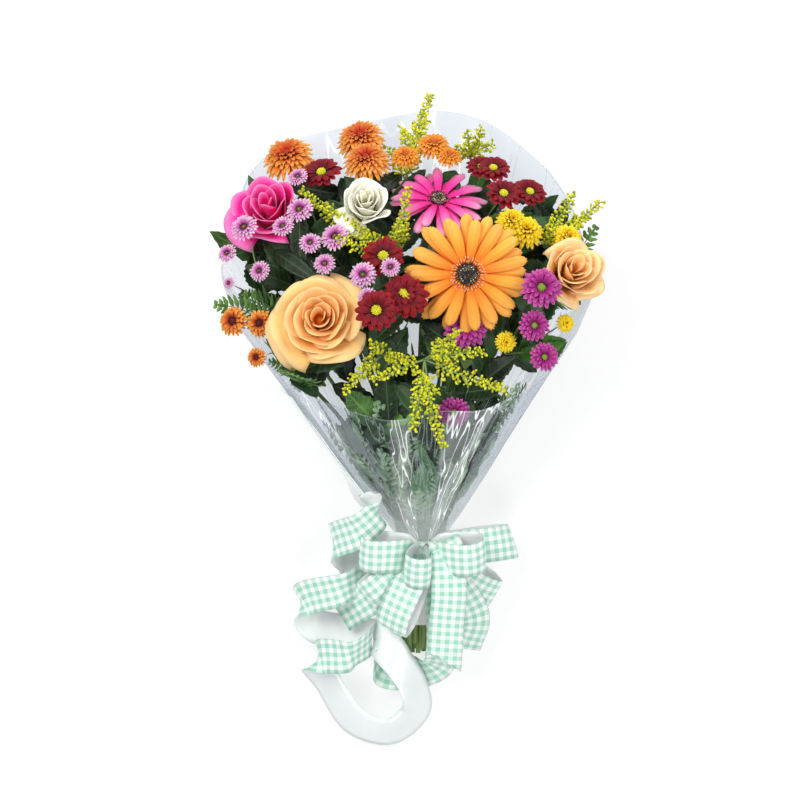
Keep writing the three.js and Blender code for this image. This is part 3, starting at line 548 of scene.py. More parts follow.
class FrameNode:
    """A node of the frame as welded corners and faces, in millimetres from the neck."""

    def __init__(self, shop: Workshop, name: str) -> None:
        """Reads the node's mesh and welds its corners."""
        mesh = shop.frame["nodes"][name].data
        raw = (read_corners(mesh) - shop.neck) / MM
        _, first, where = np.unique(np.round(raw, 2), axis=0, return_index=True, return_inverse=True)
        faces = where.reshape(-1)[read_loops(mesh)].reshape(-1, 3)
        bad = (faces[:, 0] == faces[:, 1]) | (faces[:, 1] == faces[:, 2]) | (faces[:, 0] == faces[:, 2])
        self.points = raw[first]
        self.faces = faces[~bad]

    def crowd(self, near: Point, within: float = 34.0, reach: float = 3.2) -> np.ndarray:
        """Finds where corners are densest, as they are where leaves or twigs meet.

        Args:
            near: Where to look.
            within: How far from there.
            reach: Radius in which corners are counted.

        Returns:
            The middle of the densest cluster.
        """
        close = self.points[np.linalg.norm(self.points - np.asarray(near, float), axis=1) < within]
        if not len(close):
            return np.asarray(near, float)
        far = np.linalg.norm(close[:, None] - close[None], axis=2)
        count = (far < reach).sum(1)
        best = int(np.argmax(count))
        return close[far[best] < reach].mean(0)

    def islands(self, lost: np.ndarray) -> list[np.ndarray]:
        """Splits the node where corners are taken out.

        Args:
            lost: True for each corner that is taken out.

        Returns:
            The corners of each connected part, largest first.
        """
        label = np.arange(len(self.points))
        kept = self.faces[~lost[self.faces].any(1)]
        for _ in range(400):
            low = label[kept].min(1)
            before = label.copy()
            for corner in range(3):
                np.minimum.at(label, kept[:, corner], low)
            label = label[label]
            if (label == before).all():
                break
        used = np.zeros(len(self.points), bool)
        used[kept.ravel()] = True
        parts = [np.flatnonzero((label == k) & used) for k in np.unique(label[used])]
        return sorted(parts, key=len, reverse=True)

    def stem(self, lost: np.ndarray) -> Form | None:
        """Keeps the part that runs down to the cut end.

        Args:
            lost: True for each corner that belongs to heads or leaves.

        Returns:
            The stalks as a form, or None where nothing is left.
        """
        parts = [part for part in self.islands(lost) if self.points[part, 1].min() < -60]
        if not parts:
            return None
        keep = np.zeros(len(self.points), bool)
        keep[np.concatenate(parts)] = True
        faces = self.faces[keep[self.faces].all(1)]
        used, faces = np.unique(faces, return_inverse=True)
        points = self.points[used]
        tone = np.full((len(points), 4), 0.5)
        tone[:, 0] = np.clip((points[:, 1] + 80) / 300, 0, 1)
        return Form.of(points, faces.reshape(-1, 3), tone, Look.GREEN)


def smooth_solid(shop: Workshop, name: str, form: Form, material: Material, level: int = 2) -> Piece:
    """Closes a faceted form and rounds it with a subdivision surface.

    Args:
        shop: The workshop.
        name: Name of the object.
        form: The faceted form.
        material: Its material.
        level: Subdivision level.

    Returns:
        The rounded object.
    """
    piece = shop.mesh_piece(name, form, [material])
    shop.choose(piece)
    edit_all(lambda: bpy.ops.mesh.fill_holes(sides=0), face_outward)
    mesh = piece.data
    ends = np.zeros(len(mesh.edges) * 2, int)
    mesh.edges.foreach_get("vertices", ends)
    back = (read_corners(mesh)[:, 1] - shop.neck[1]) / MM
    sharp = (back[ends.reshape(-1, 2)] < CUT_ENDS).all(1)
    mesh.attributes.new("crease_edge", "FLOAT", "EDGE").data.foreach_set("value", sharp.astype(np.float32))
    rounder = piece.modifiers.new("round", "SUBSURF")
    rounder.levels = rounder.render_levels = level
    bpy.ops.object.modifier_apply(modifier=rounder.name)
    bpy.ops.object.shade_smooth()
    return piece


def stalk_pieces(shop: Workshop, name: str, frame: FrameNode, lost: np.ndarray | None = None) -> list[Piece]:
    """Rounds the stem of a frame node.

    Args:
        shop: The workshop.
        name: Name of the plant.
        frame: The frame node.
        lost: True for each corner that belongs to heads or leaves.

    Returns:
        The stem, or nothing where the node has none.
    """
    form = frame.stem(np.zeros(len(frame.points), bool) if lost is None else lost)
    return [] if form is None else [smooth_solid(shop, name + "_stalk", form, STALK.material())]


# ---- Finishes --------------------------------------------------------------------------------


def hue(code: str) -> Colour:
    """Returns the linear colour of an sRGB code such as FF8000."""
    parts = [int(code[k : k + 2], 16) / 255 for k in (0, 2, 4)]
    return tuple(p / 12.92 if p <= 0.04045 else ((p + 0.055) / 1.055) ** 2.4 for p in parts)


class Nodes:
    """Short ways to lay out the nodes of one material or group."""

    def __init__(self, tree: bpy.types.NodeTree) -> None:
        """Keeps the tree that nodes are added to."""
        self.tree = tree

    def add(self, kind: str, **settings: object) -> bpy.types.Node:
        """Adds a node of a kind and sets its properties."""
        node = self.tree.nodes.new("ShaderNode" + kind)
        for name, value in settings.items():
            setattr(node, name, value)
        return node

    def feed(self, source: Input | Point, target: Socket) -> None:
        """Links a socket to a target, or sets the target's value."""
        if isinstance(source, bpy.types.NodeSocket):
            self.tree.links.new(source, target)
        elif isinstance(source, (int, float)):
            target.default_value = source
        else:
            target.default_value = (*source, 1.0) if len(target.default_value) == 4 and len(source) == 3 else source

    def math(self, operation: str, *values: Input, clamp: bool = False) -> Socket:
        """Adds a Math node with its inputs and returns its output."""
        node = self.add("Math", operation=operation, use_clamp=clamp)
        for socket, value in zip(node.inputs, values):
            self.feed(value, socket)
        return node.outputs[0]

    def times(self, *values: Input, clamp: bool = False) -> Socket:
        """Returns the product of two values."""
        return self.math("MULTIPLY", *values, clamp=clamp)

    def plus(self, *values: Input, clamp: bool = False) -> Socket:
        """Returns the sum of two values."""
        return self.math("ADD", *values, clamp=clamp)

    def less(self, *values: Input, clamp: bool = False) -> Socket:
        """Returns the first value less the second."""
        return self.math("SUBTRACT", *values, clamp=clamp)

    def put(self, node: bpy.types.Node, values: dict[str | int, Input | Point]) -> None:
        """Feeds inputs of a node by their names or numbers."""
        for name, value in values.items():
            self.feed(value, node.inputs[name])

    def group(self, tree: bpy.types.NodeTree, values: dict[str | int, Input]) -> bpy.types.Node:
        """Adds a shared group and feeds its inputs."""
        node = self.add("Group", node_tree=tree)
        self.put(node, values)
        return node

    def strip_map(self) -> tuple[Socket, Socket]:
        """Returns the places across and along a ribbon, in millimetres."""
        split = self.add("SeparateXYZ")
        self.feed(self.add("UVMap", uv_map="strip").outputs[0], split.inputs[0])
        return split.outputs[0], split.outputs[1]

    def blend(self, share: Input, first: Socket | Point, second: Socket | Point) -> Socket:
        """Mixes two colours and returns the colour socket."""
        node = self.add("Mix", data_type="RGBA")
        self.put(node, {0: share, 6: first, 7: second})
        return node.outputs[2]

    def ramp(self, value: Socket, stops: Sequence[tuple[float, Colour]]) -> Socket:
        """Maps a value to colours at stops and returns the colour socket."""
        node = self.add("ValToRGB")
        bar = node.color_ramp.elements
        while len(bar) < len(stops):
            bar.new(0.5)
        for stop, (place, colour) in zip(bar, stops):
            stop.position = place
            stop.color = (*colour, 1.0)
        self.feed(value, node.inputs[0])
        return node.outputs[0]

    def spread(self, value: Socket, low: float, high: float) -> Socket:
        """Maps low to high onto 0 to 1 with a smooth step."""
        node = self.add("MapRange", interpolation_type="SMOOTHSTEP")
        self.put(node, {0: value, 1: low, 2: high})
        return node.outputs[0]

    def noise(self, vector: Socket, scale: float, detail: float = 2.0) -> Socket:
        """Adds a noise texture and returns its value."""
        node = self.add("TexNoise")
        self.put(node, {"Vector": vector, "Scale": scale, "Detail": detail})
        return node.outputs[0]

    def bump(self, height: Socket, strength: float, distance: float) -> Socket:
        """Adds a Bump node over a height and returns its normal."""
        node = self.add("Bump")
        self.put(node, {"Strength": strength, "Distance": distance, "Height": height})
        return node.outputs[0]

    def tones(self) -> tuple[Socket, Socket, Socket, Socket]:
        """Reads the painted tones and returns along, across, shade and chance."""
        painted = self.add("Attribute", attribute_name="tone")
        split = self.add("SeparateColor")
        self.feed(painted.outputs["Color"], split.inputs[0])
        return split.outputs[0], split.outputs[1], split.outputs[2], painted.outputs["Alpha"]

    def place(self) -> Socket:
        """Returns the Object coordinates."""
        return self.add("TexCoord").outputs["Object"]


def new_material(name: str) -> tuple[Material, Nodes, bpy.types.Node]:
    """Makes a material with a Principled shader.

    Args:
        name: Name of the material.

    Returns:
        The material, its nodes and its shader.
    """
    material = bpy.data.materials.new(name)
    material.use_nodes = True
    return material, Nodes(material.node_tree), material.node_tree.nodes["Principled BSDF"]


def shared_group(name: str, inputs: Sequence[str], outputs: Sequence[str]) -> tuple[bpy.types.NodeTree, Nodes, dict]:
    """Makes an empty shader group.

    Args:
        name: Name of the group.
        inputs: Names of its number inputs.
        outputs: Names of its number outputs.

    Returns:
        The tree, its nodes, and its inner sockets by name.
    """
    tree = bpy.data.node_groups.new(name, "ShaderNodeTree")
    for socket in inputs:
        tree.interface.new_socket(name=socket, in_out="INPUT", socket_type="NodeSocketFloat")
    for socket in outputs:
        tree.interface.new_socket(name=socket, in_out="OUTPUT", socket_type="NodeSocketFloat")
    start, end = tree.nodes.new("NodeGroupInput"), tree.nodes.new("NodeGroupOutput")
    inner = {socket: start.outputs[socket] for socket in inputs}
    inner.update({"to " + socket: end.inputs[socket] for socket in outputs})
    return tree, Nodes(tree), inner


@lru_cache(maxsize=None)
def crease_group() -> bpy.types.NodeTree:
    """Builds the group that draws lengthwise creases and fine mottling on petals."""
    tree, nodes, inner = shared_group("petal_creases", ["Along", "Across", "Count", "Wander"], ["Height", "Mottle"])
    place = nodes.place()
    wander = nodes.times(nodes.less(nodes.noise(place, 260.0), 0.5), inner["Wander"])
    across = nodes.plus(inner["Across"], wander)
    turns = nodes.times(nodes.times(across, inner["Count"]), 2 * math.pi)
    wave = nodes.plus(nodes.times(nodes.math("COSINE", turns), 0.5), 0.5)
    fade = nodes.less(1.0, nodes.times(inner["Along"], 0.45))
    nodes.feed(nodes.times(wave, fade), inner["to Height"])
    nodes.feed(nodes.noise(place, 140.0, 3.0), inner["to Mottle"])
    return tree


@lru_cache(maxsize=None)
def weave_group() -> bpy.types.NodeTree:
    """Builds the group that gives ribbon its fine threads."""
    tree, nodes, inner = shared_group("ribbon_threads", ["Across", "Along", "Pitch"], ["Height"])
    one = nodes.math("SINE", nodes.times(inner["Across"], nodes.math("DIVIDE", 2 * math.pi, inner["Pitch"])))
    two = nodes.math("SINE", nodes.times(inner["Along"], nodes.math("DIVIDE", 2 * math.pi, inner["Pitch"])))
    nodes.feed(nodes.plus(nodes.times(nodes.times(one, two), 0.5), 0.5), inner["to Height"])
    return tree


@dataclass(frozen=True)
class PetalFinish:
    """A petal's colours from root to tip, with creases and a soft sheen; inner petals and crease grooves get painted
    shade.
    """

    name: str
    stops: tuple[tuple[float, str], ...]
    # The deep colour is the painted shade that inner petals and crease grooves are mixed toward.
    deep: str
    depth_shade_share: float = 0.6
    creases: float = 3.0
    crease_shade_strength: float = 0.25
    roughness: float = 0.5
    spread: float = 0.12

    @lru_cache(maxsize=None)
    def material(self) -> Material:
        """Builds the material."""
        material, nodes, shader = new_material(self.name)
        along, across, shade, chance = nodes.tones()
        creases = nodes.group(crease_group(), {"Along": along, "Across": across, "Count": self.creases, "Wander": 0.05})
        colour = nodes.ramp(along, [(place, hue(code)) for place, code in self.stops])
        # Petals deeper in the bloom, with a low shade tone, are mixed toward the deep colour: painted shade where inner
        # petals lie in shadow.
        painted_depth_shade = nodes.times(nodes.less(1.0, shade), self.depth_shade_share, clamp=True)
        colour = nodes.blend(painted_depth_shade, colour, hue(self.deep))
        # The grooves between creases are mixed toward the deep colour as well: painted shade in the creases.
        painted_crease_shade = nodes.times(nodes.less(1.0, creases.outputs["Height"]), self.crease_shade_strength * 0.5)
        colour = nodes.blend(painted_crease_shade, colour, hue(self.deep))
        shift = nodes.add("HueSaturation")
        vary = nodes.plus(nodes.times(creases.outputs["Mottle"], 0.5), nodes.times(chance, 0.5))
        vary = nodes.times(nodes.less(vary, 0.5), self.spread * 2)
        shade_shift, hue_shift = nodes.plus(vary, 1.0), nodes.plus(nodes.times(vary, 0.06), 0.5)
        nodes.put(shift, {"Color": colour, "Value": shade_shift, "Hue": hue_shift})
        nodes.put(shader, {
            "Base Color": shift.outputs[0], "Normal": nodes.bump(creases.outputs["Height"], 0.4, 0.0006),
            "Roughness": self.roughness, "Specular IOR Level": 0.22, "Sheen Weight": 0.04,
        })
        return material


@dataclass(frozen=True)
class LeafFinish:
    """A leaf or stem with a paler midrib, side veins and a slight gloss; a low shade tone paints it darker toward near
    black as shade.
    """

    name: str
    dark: str
    light: str
    vein: str
    roughness: float = 0.45

    @lru_cache(maxsize=None)
    def material(self) -> Material:
        """Builds the material."""
        material, nodes, shader = new_material(self.name)
        along, across, shade, chance = nodes.tones()
        place = nodes.place()
        patches = nodes.noise(place, 70.0, 3.0)
        share = nodes.plus(nodes.times(patches, 0.7), nodes.times(chance, 0.6))
        colour = nodes.blend(nodes.spread(share, 0.3, 1.0), hue(self.dark), hue(self.light))
        aside = nodes.math("ABSOLUTE", nodes.less(nodes.times(across, 2.0), 1.0))
        rib = nodes.less(1.0, nodes.spread(aside, 0.03, 0.12))
        slant = nodes.less(nodes.times(along, 9.0), nodes.times(aside, 1.4))
        side = nodes.math("ABSOLUTE", nodes.less(nodes.math("FRACT", slant), 0.5))
        side = nodes.less(1.0, nodes.spread(side, 0.02, 0.1))
        veins = nodes.math("MAXIMUM", rib, nodes.times(side, 0.6))
        colour = nodes.blend(nodes.times(veins, 0.45), colour, hue(self.vein))
        # A low shade tone mixes the green toward near black: painted shade deep inside the bunch.
        colour = nodes.blend(nodes.times(nodes.less(1.0, shade), 0.9, clamp=True), colour, hue("0A1208"))
        height = nodes.less(nodes.times(patches, 0.4), veins)
        nodes.put(shader, {
            "Base Color": colour, "Normal": nodes.bump(height, 0.5, 0.0007), "Roughness": self.roughness,
            "Specular IOR Level": 0.4,
        })
        return material


@dataclass(frozen=True)
class DotFinish:
    """A rough flower centre or bud, mottled between two colours."""

    name: str
    low: str
    high: str
    roughness: float = 0.65

    @lru_cache(maxsize=None)
    def material(self) -> Material:
        """Builds the material."""
        material, nodes, shader = new_material(self.name)
        along, _, _, chance = nodes.tones()
        grain = nodes.noise(nodes.place(), 900.0, 2.0)
        share = nodes.plus(nodes.times(along, 0.7), nodes.times(grain, 0.5))
        share = nodes.plus(share, nodes.times(nodes.less(chance, 0.5), 0.5))
        colour = nodes.blend(nodes.spread(share, 0.2, 0.95), hue(self.low), hue(self.high))
        bump = nodes.bump(grain, 0.5, 0.0005)
        nodes.put(shader, {"Base Color": colour, "Normal": bump, "Roughness": self.roughness})
        return material


@dataclass(frozen=True)
class FilmFinish:
    """Clear film with a cool tint and painted glints: a whitish glowing share near the neck and bright lines and
    patches that run out from it stand in for reflections of the lights.
    """

    name: str = "clear_film"
    tint: str = "F3F5F8"
    # White of the painted glints.
    glint_white: str = "FFFFFF"

    @lru_cache(maxsize=None)
    def material(self) -> Material:
        """Builds the material."""
        material, nodes, shader = new_material(self.name)
        along, east, north, _ = nodes.tones()
        round_place = nodes.add("CombineXYZ")
        nodes.put(round_place, {0: nodes.times(east, 7.0), 1: nodes.times(north, 7.0), 2: nodes.times(along, 0.9)})
        fine, broad = (nodes.noise(round_place.outputs[0], scale, 1.0) for scale in (4.0, 0.8))
        crease = nodes.less(1.0, nodes.spread(nodes.math("ABSOLUTE", nodes.less(fine, 0.5)), 0.0, 0.035))
        # Broad patches where the painted glints show.
        glint_patch_share = nodes.spread(broad, 0.47, 0.6)
        glint_streak_share = nodes.times(crease, nodes.plus(glint_patch_share, 0.05))
        # Whiter towards the neck, where the film is gathered: painted reflection and glow.
        gathered = nodes.times(nodes.less(0.48, along, clamp=True), 0.6)
        glint_haze_share = nodes.plus(nodes.times(glint_patch_share, 0.07), gathered)
        bump = nodes.bump(nodes.plus(nodes.times(crease, 0.3), broad), 0.6, 0.006)
        edge = nodes.add("Fresnel")
        nodes.put(edge, {"IOR": 1.25, "Normal": bump})
        nodes.put(shader, {"Normal": bump, "Base Color": hue("E6ECF0"), "Roughness": 0.08, "Specular IOR Level": 1.0})
        clear = nodes.add("BsdfTransparent")
        nodes.put(clear, {0: hue(self.tint)})
        glossy = nodes.add("MixShader")
        seen = nodes.times(edge.outputs[0], 0.32, clamp=True)
        nodes.put(glossy, {0: seen, 1: clear.outputs[0], 2: shader.outputs[0]})
        # White shader with a slight glow for the painted glints: painted highlight and glow, not part of the film's
        # colour.
        glowing_glint_shader = nodes.add("BsdfPrincipled")
        white = hue(self.glint_white)
        nodes.put(glowing_glint_shader, {"Base Color": white, "Roughness": 0.35, "Emission Color": white, "Emission Strength": 0.25})
        both = nodes.add("MixShader")
        share = nodes.plus(nodes.times(glint_streak_share, 0.62), glint_haze_share, clamp=True)
        nodes.put(both, {0: share, 1: glossy.outputs[0], 2: glowing_glint_shader.outputs[0]})
        end = next(node for node in material.node_tree.nodes if node.type == "OUTPUT_MATERIAL")
        nodes.feed(both.outputs[0], end.inputs[0])
        return material


@dataclass(frozen=True)
class GinghamFinish:
    """Woven gingham in mint and white, its squares set by the strip's own map in millimetres."""

    name: str = "gingham_ribbon"
    mint: str = "9AD3B9"
    pale: str = "FBFBF8"
    pitch: float = 7.75

    @lru_cache(maxsize=None)
    def material(self) -> Material:
        """Builds the material."""
        material, nodes, shader = new_material(self.name)
        places = nodes.strip_map()
        turns = [nodes.times(place, 2 * math.pi / self.pitch) for place in places]
        bands = [nodes.spread(nodes.math("SINE", turn), -0.12, 0.12) for turn in turns]
        both = nodes.times(nodes.plus(*bands), 0.5)
        colour = nodes.ramp(both, [(0.0, hue(self.pale)), (0.5, hue("CBE8DB")), (1.0, hue(self.mint))])
        colour = nodes.blend(nodes.times(nodes.noise(nodes.place(), 60.0), 0.08), colour, hue("8FC4AE"))
        weave = nodes.group(weave_group(), {"Across": places[0], "Along": places[1], "Pitch": 0.5})
        bump = nodes.bump(weave.outputs[0], 0.25, 0.0002)
        nodes.put(shader, {"Base Color": colour, "Normal": bump, "Roughness": 0.5, "Sheen Weight": 0.3})
        return material


@dataclass(frozen=True)
class SatinFinish:
    """The ribbon's silvery reverse."""

    name: str = "satin_reverse"
    shine: str = "F3F6F5"

    @lru_cache(maxsize=None)
    def material(self) -> Material:
        """Builds the material."""
        material, nodes, shader = new_material(self.name)
        across, along = nodes.strip_map()
        colour = nodes.blend(nodes.noise(nodes.place(), 45.0), hue("E6EAE9"), hue(self.shine))
        weave = nodes.group(weave_group(), {"Across": across, "Along": along, "Pitch": 0.7})
        nodes.put(shader, {
            "Base Color": colour, "Normal": nodes.bump(weave.outputs[0], 0.15, 0.0002), "Metallic": 0.05,
            "Roughness": 0.3, "Sheen Weight": 0.2,
        })
        return material


LEAF = LeafFinish("leaf_green", "16320F", "4B7F33", "8FB070")
FERN = LeafFinish("fern_green", "1F4A17", "6FA045", "9CBF6A")
STALK = LeafFinish("green_stem", "5D8A38", "9DBF66", "B5CE86", roughness=0.5)
PALE_FERN = LeafFinish("pale_fern_green", "6B9664", "BFDCAE", "E0EFD4")
# The inner leaves get a much darker green than the outer ones: real greenery, darkened as painted shade under the
# blooms.
SHADED_FILLER = LeafFinish("shaded_inner_leaf_green", "0B1D09", "3C6A30", "6F9560")


# ---- Small heads -----------------------------------------------------------------------------


@dataclass(frozen=True)
class PetalRing:
    """A ring of like petals round a head, with sizes as shares of the head's radius."""

    count: int
    root: float
    reach: float
    wide: float
    rise: float
    droop: float = 0.0
    cup: float = 0.25
    base: float = 0.0
    rows: int = 4
    cols: int = 2
    shade: float = 1.0
    blunt: float = 0.7
    jitter: float = 0.06

    def petals(self, chance: Chance) -> list[Form]:
        """Shapes one petal and copies it round the ring.

        Args:
            chance: Source of the small differences between petals.

        Returns:
            The petals, facing up the z axis.
        """

        def place(u: np.ndarray, v: np.ndarray) -> np.ndarray:
            """Places corners from shares along and across."""
            swell = 0.42 + 0.58 * np.sin(math.pi / 2 * np.clip(u * 1.45, 0, 1))
            half = self.wide * swell * np.sqrt(np.clip(1 - (np.clip(u - 0.6, 0, 1) / 0.46) ** 2, 0.05, 1)) ** self.blunt
            x = self.root + (self.reach - self.root) * (u - 0.1 * v * v * u)
            z = self.base + self.rise * np.sin(math.pi / 2 * u) - self.droop * u * u + self.cup * half * v * v
            return np.stack([x, v * half, z], 1)

        model = patch(self.rows, self.cols, place, shade=self.shade)
        out = []
        for k in range(self.count):
            angle = (k + draw(chance, -1, 1) * 0.16) * 2 * math.pi / self.count
            size = 1 + draw(chance, -1, 1) * self.jitter
            lean = draw(chance, -1, 1) * 0.09
            c, s = math.cos(lean), math.sin(lean)
            turn = np.array([[c, 0, s], [0, 1, 0], [-s, 0, c]])
            turn = turn @ spun(angle)
            out.append(model.moved(turn, (0, 0, 0), size).toned(3, draw(chance)))
        return out


@dataclass(frozen=True)
class HeadShape:
    """A small flower head of one kind: its petal rings, its bumpy middle and its green cup."""

    rings: tuple[PetalRing, ...]
    heart: float
    heart_height: float
    bumps: int
    cup: float = 0.34
    eye: bool = False

    def blades(self, chance: Chance) -> Form:
        """Returns all petals of a head of radius one."""
        return Form.joined([petal for ring in self.rings for petal in ring.petals(chance)])

    def middle(self, chance: Chance) -> Form:
        """Builds the middle of a head of radius one.

        Args:
            chance: Source of the small differences between bumps.

        Returns:
            A dome set with small florets in a spiral.
        """
        size = (self.heart, self.heart, self.heart_height)
        parts = [bead((0, 0, 0.02), size, (0.2, 0.5, 0.5, 0.5), Look.HEART, 2)]
        for k in range(self.bumps):
            share = math.sqrt((k + 0.5) / self.bumps)
            angle = k * GOLDEN_ANGLE
            out = self.heart * share * 0.95
            high = 0.02 + self.heart_height * math.sqrt(max(1 - share * share * 0.9, 0))
            grain = self.heart * 0.13
            tone = (1.0 if not self.eye else max(0.0, 1 - 2.2 * share), 0.5, 0.5, draw(chance))
            place = (out * math.cos(angle), out * math.sin(angle), high)
            parts.append(bead(place, (grain, grain, grain * 1.2), tone, Look.HEART))
        return Form.joined(parts)

    def calyx(self) -> Form:
        """Returns the green cup under a head of radius one, with a short stalk."""
        line = np.array([(0, 0, h) for h in (-0.78, -0.5, -0.36, -0.22, -0.1, -0.02)])
        radii = np.array([0.09, 0.1, 0.22, self.cup, self.cup * 1.08, self.cup * 0.7])
        return tube(line, radii, 10, (0.6, 0.5, 0.9, 0.5))


# Inner rings get a lower shade tone, which paints them darker as shade.
HEAD_SHAPES: dict[HeadKind, HeadShape] = {
    HeadKind.LILAC: HeadShape(
        (
            PetalRing(21, 0.28, 1.0, 0.105, 0.14, 0.16, 0.5, 0.0),
            PetalRing(19, 0.26, 0.84, 0.1, 0.2, 0.05, 0.5, 0.06, shade=0.9),
            PetalRing(15, 0.22, 0.64, 0.09, 0.24, 0.0, 0.5, 0.1, shade=0.75),
        ),
        0.27, 0.2, 26, eye=True,
    ),
    HeadKind.RED: HeadShape(
        (
            PetalRing(14, 0.2, 1.0, 0.185, 0.1, 0.12, 0.3, 0.0, 5),
            PetalRing(13, 0.2, 0.84, 0.165, 0.22, 0.08, 0.35, 0.05, 5, shade=0.8),
        ),
        0.27, 0.17, 44,
    ),
    HeadKind.PURPLE: HeadShape(
        (
            PetalRing(19, 0.2, 1.0, 0.13, 0.1, 0.14, 0.5, 0.0, 5),
            PetalRing(17, 0.2, 0.86, 0.12, 0.2, 0.05, 0.55, 0.05, 5, shade=0.85),
            PetalRing(13, 0.18, 0.66, 0.1, 0.28, 0.0, 0.6, 0.09, 5, shade=0.7),
        ),
        0.23, 0.17, 34,
    ),
    HeadKind.BRONZE: HeadShape(
        (
            PetalRing(24, 0.25, 1.0, 0.088, 0.02, 0.34, 0.5, 0.02, 5),
            PetalRing(24, 0.25, 0.95, 0.088, 0.1, 0.2, 0.5, 0.07, 5, shade=0.95),
            PetalRing(22, 0.22, 0.84, 0.085, 0.16, 0.1, 0.5, 0.12, 5, shade=0.85),
            PetalRing(20, 0.18, 0.7, 0.08, 0.2, 0.04, 0.5, 0.16, 4, shade=0.62),
            PetalRing(16, 0.14, 0.54, 0.075, 0.22, 0.0, 0.5, 0.19, 4, shade=0.4),
            PetalRing(12, 0.08, 0.38, 0.065, 0.22, 0.0, 0.5, 0.22, 4, shade=0.25),
        ),
        0.2, 0.34, 16,
    ),
    HeadKind.BUTTON: HeadShape(
        (
            PetalRing(22, 0.3, 1.0, 0.1, 0.0, 0.3, 0.4, 0.06, 4),
            PetalRing(22, 0.3, 0.9, 0.1, 0.12, 0.12, 0.4, 0.12, 4, shade=0.9),
            PetalRing(18, 0.22, 0.72, 0.095, 0.18, 0.05, 0.4, 0.17, 3, shade=0.75),
            PetalRing(14, 0.14, 0.5, 0.085, 0.2, 0.0, 0.4, 0.2, 3, shade=0.55),
        ),
        0.26, 0.4, 20,
    ),
    HeadKind.YELLOW: HeadShape(
        (
            PetalRing(20, 0.2, 1.0, 0.12, 0.05, 0.28, 0.5, 0.04, 4),
            PetalRing(20, 0.2, 0.9, 0.12, 0.2, 0.16, 0.5, 0.1, 4, shade=0.95),
            PetalRing(16, 0.16, 0.72, 0.11, 0.36, 0.08, 0.5, 0.14, 4, shade=0.85),
            PetalRing(12, 0.1, 0.5, 0.1, 0.46, 0.02, 0.5, 0.18, 4, shade=0.75),
            PetalRing(8, 0.04, 0.28, 0.08, 0.46, 0.0, 0.5, 0.22, 3, shade=0.65),
        ),
        0.12, 0.34, 8,
    ),
    HeadKind.SANTINI: HeadShape(
        (
            PetalRing(19, 0.26, 1.0, 0.125, 0.1, 0.2, 0.6, 0.0),
            PetalRing(17, 0.24, 0.84, 0.115, 0.22, 0.08, 0.6, 0.06, shade=0.85),
            PetalRing(13, 0.2, 0.64, 0.1, 0.28, 0.0, 0.6, 0.1, shade=0.6),
        ),
        0.36, 0.26, 34, eye=True,
    ),
}

# Each finish's deep colour is the painted shade that inner petals and crease grooves are mixed toward.
HEAD_PETALS: dict[HeadKind, PetalFinish] = {
    HeadKind.LILAC: PetalFinish(
        "lilac_petals", ((0.0, "6E1C5E"), (0.3, "C458A8"), (0.65, "E08CC8"), (1.0, "FADCEC")), "6A1F5A", 0.35, 2.0
    ),
    HeadKind.RED: PetalFinish(
        "dark_red_petals", ((0.0, "35020A"), (0.4, "780414"), (0.85, "8E081A"), (1.0, "B0182C")), "220005", 0.5, 3.0
    ),
    HeadKind.PURPLE: PetalFinish(
        "purple_petals", ((0.0, "6E0E50"), (0.4, "A82480"), (0.8, "BC3894"), (1.0, "D66CB4")), "520840", 0.4, 2.0
    ),
    HeadKind.BRONZE: PetalFinish(
        "bronze_petals", ((0.0, "A02A12"), (0.35, "DE5222"), (0.7, "F2902F"), (1.0, "FBBE5C")), "B81E0C", 0.85, 2.0
    ),
    HeadKind.BUTTON: PetalFinish(
        "amber_petals", ((0.0, "B8561A"), (0.5, "F08C22"), (1.0, "FBAA3C")), "C25A1C", 0.6, 2.0
    ),
    HeadKind.YELLOW: PetalFinish(
        "yellow_petals", ((0.0, "D9A400"), (0.5, "FBD20A"), (1.0, "FFE636")), "D9A800", 0.4, 2.0
    ),
    HeadKind.SANTINI: PetalFinish(
        "rust_petals", ((0.0, "6A1208"), (0.35, "C8461C"), (0.75, "F0892E"), (1.0, "FCC05C")), "6A1208", 0.5, 2.0
    ),
}

HEAD_HEARTS: dict[HeadKind, DotFinish] = {
    HeadKind.LILAC: DotFinish("lilac_heart", "2A0A24", "C8C83A"),
    HeadKind.RED: DotFinish("green_gold_heart", "7A8A12", "F0E42A"),
    HeadKind.PURPLE: DotFinish("green_heart", "4A6A14", "A8C83A"),
    HeadKind.BRONZE: DotFinish("rust_heart", "8A1A0A", "D8602A"),
    HeadKind.BUTTON: DotFinish("copper_heart", "A0481A", "E07A2A"),
    HeadKind.YELLOW: DotFinish("gold_heart", "D09800", "FFDF2A"),
    HeadKind.SANTINI: DotFinish("maroon_heart", "3A0608", "8A1E14"),
}


def dome_facing(x: float, y: float) -> np.ndarray:
    """Returns the way that heads face at a place on the rounded top of the bunch."""
    return unit([0.0016 * 1.6 * x, 0.0034 * 1.6 * (y - 190), 1.0])


def dome_height(x: float, y: float) -> float:
    """Returns the height of the rounded top of the bunch."""
    return 172 - 0.0034 * (y - 190) ** 2 - 0.0016 * x * x


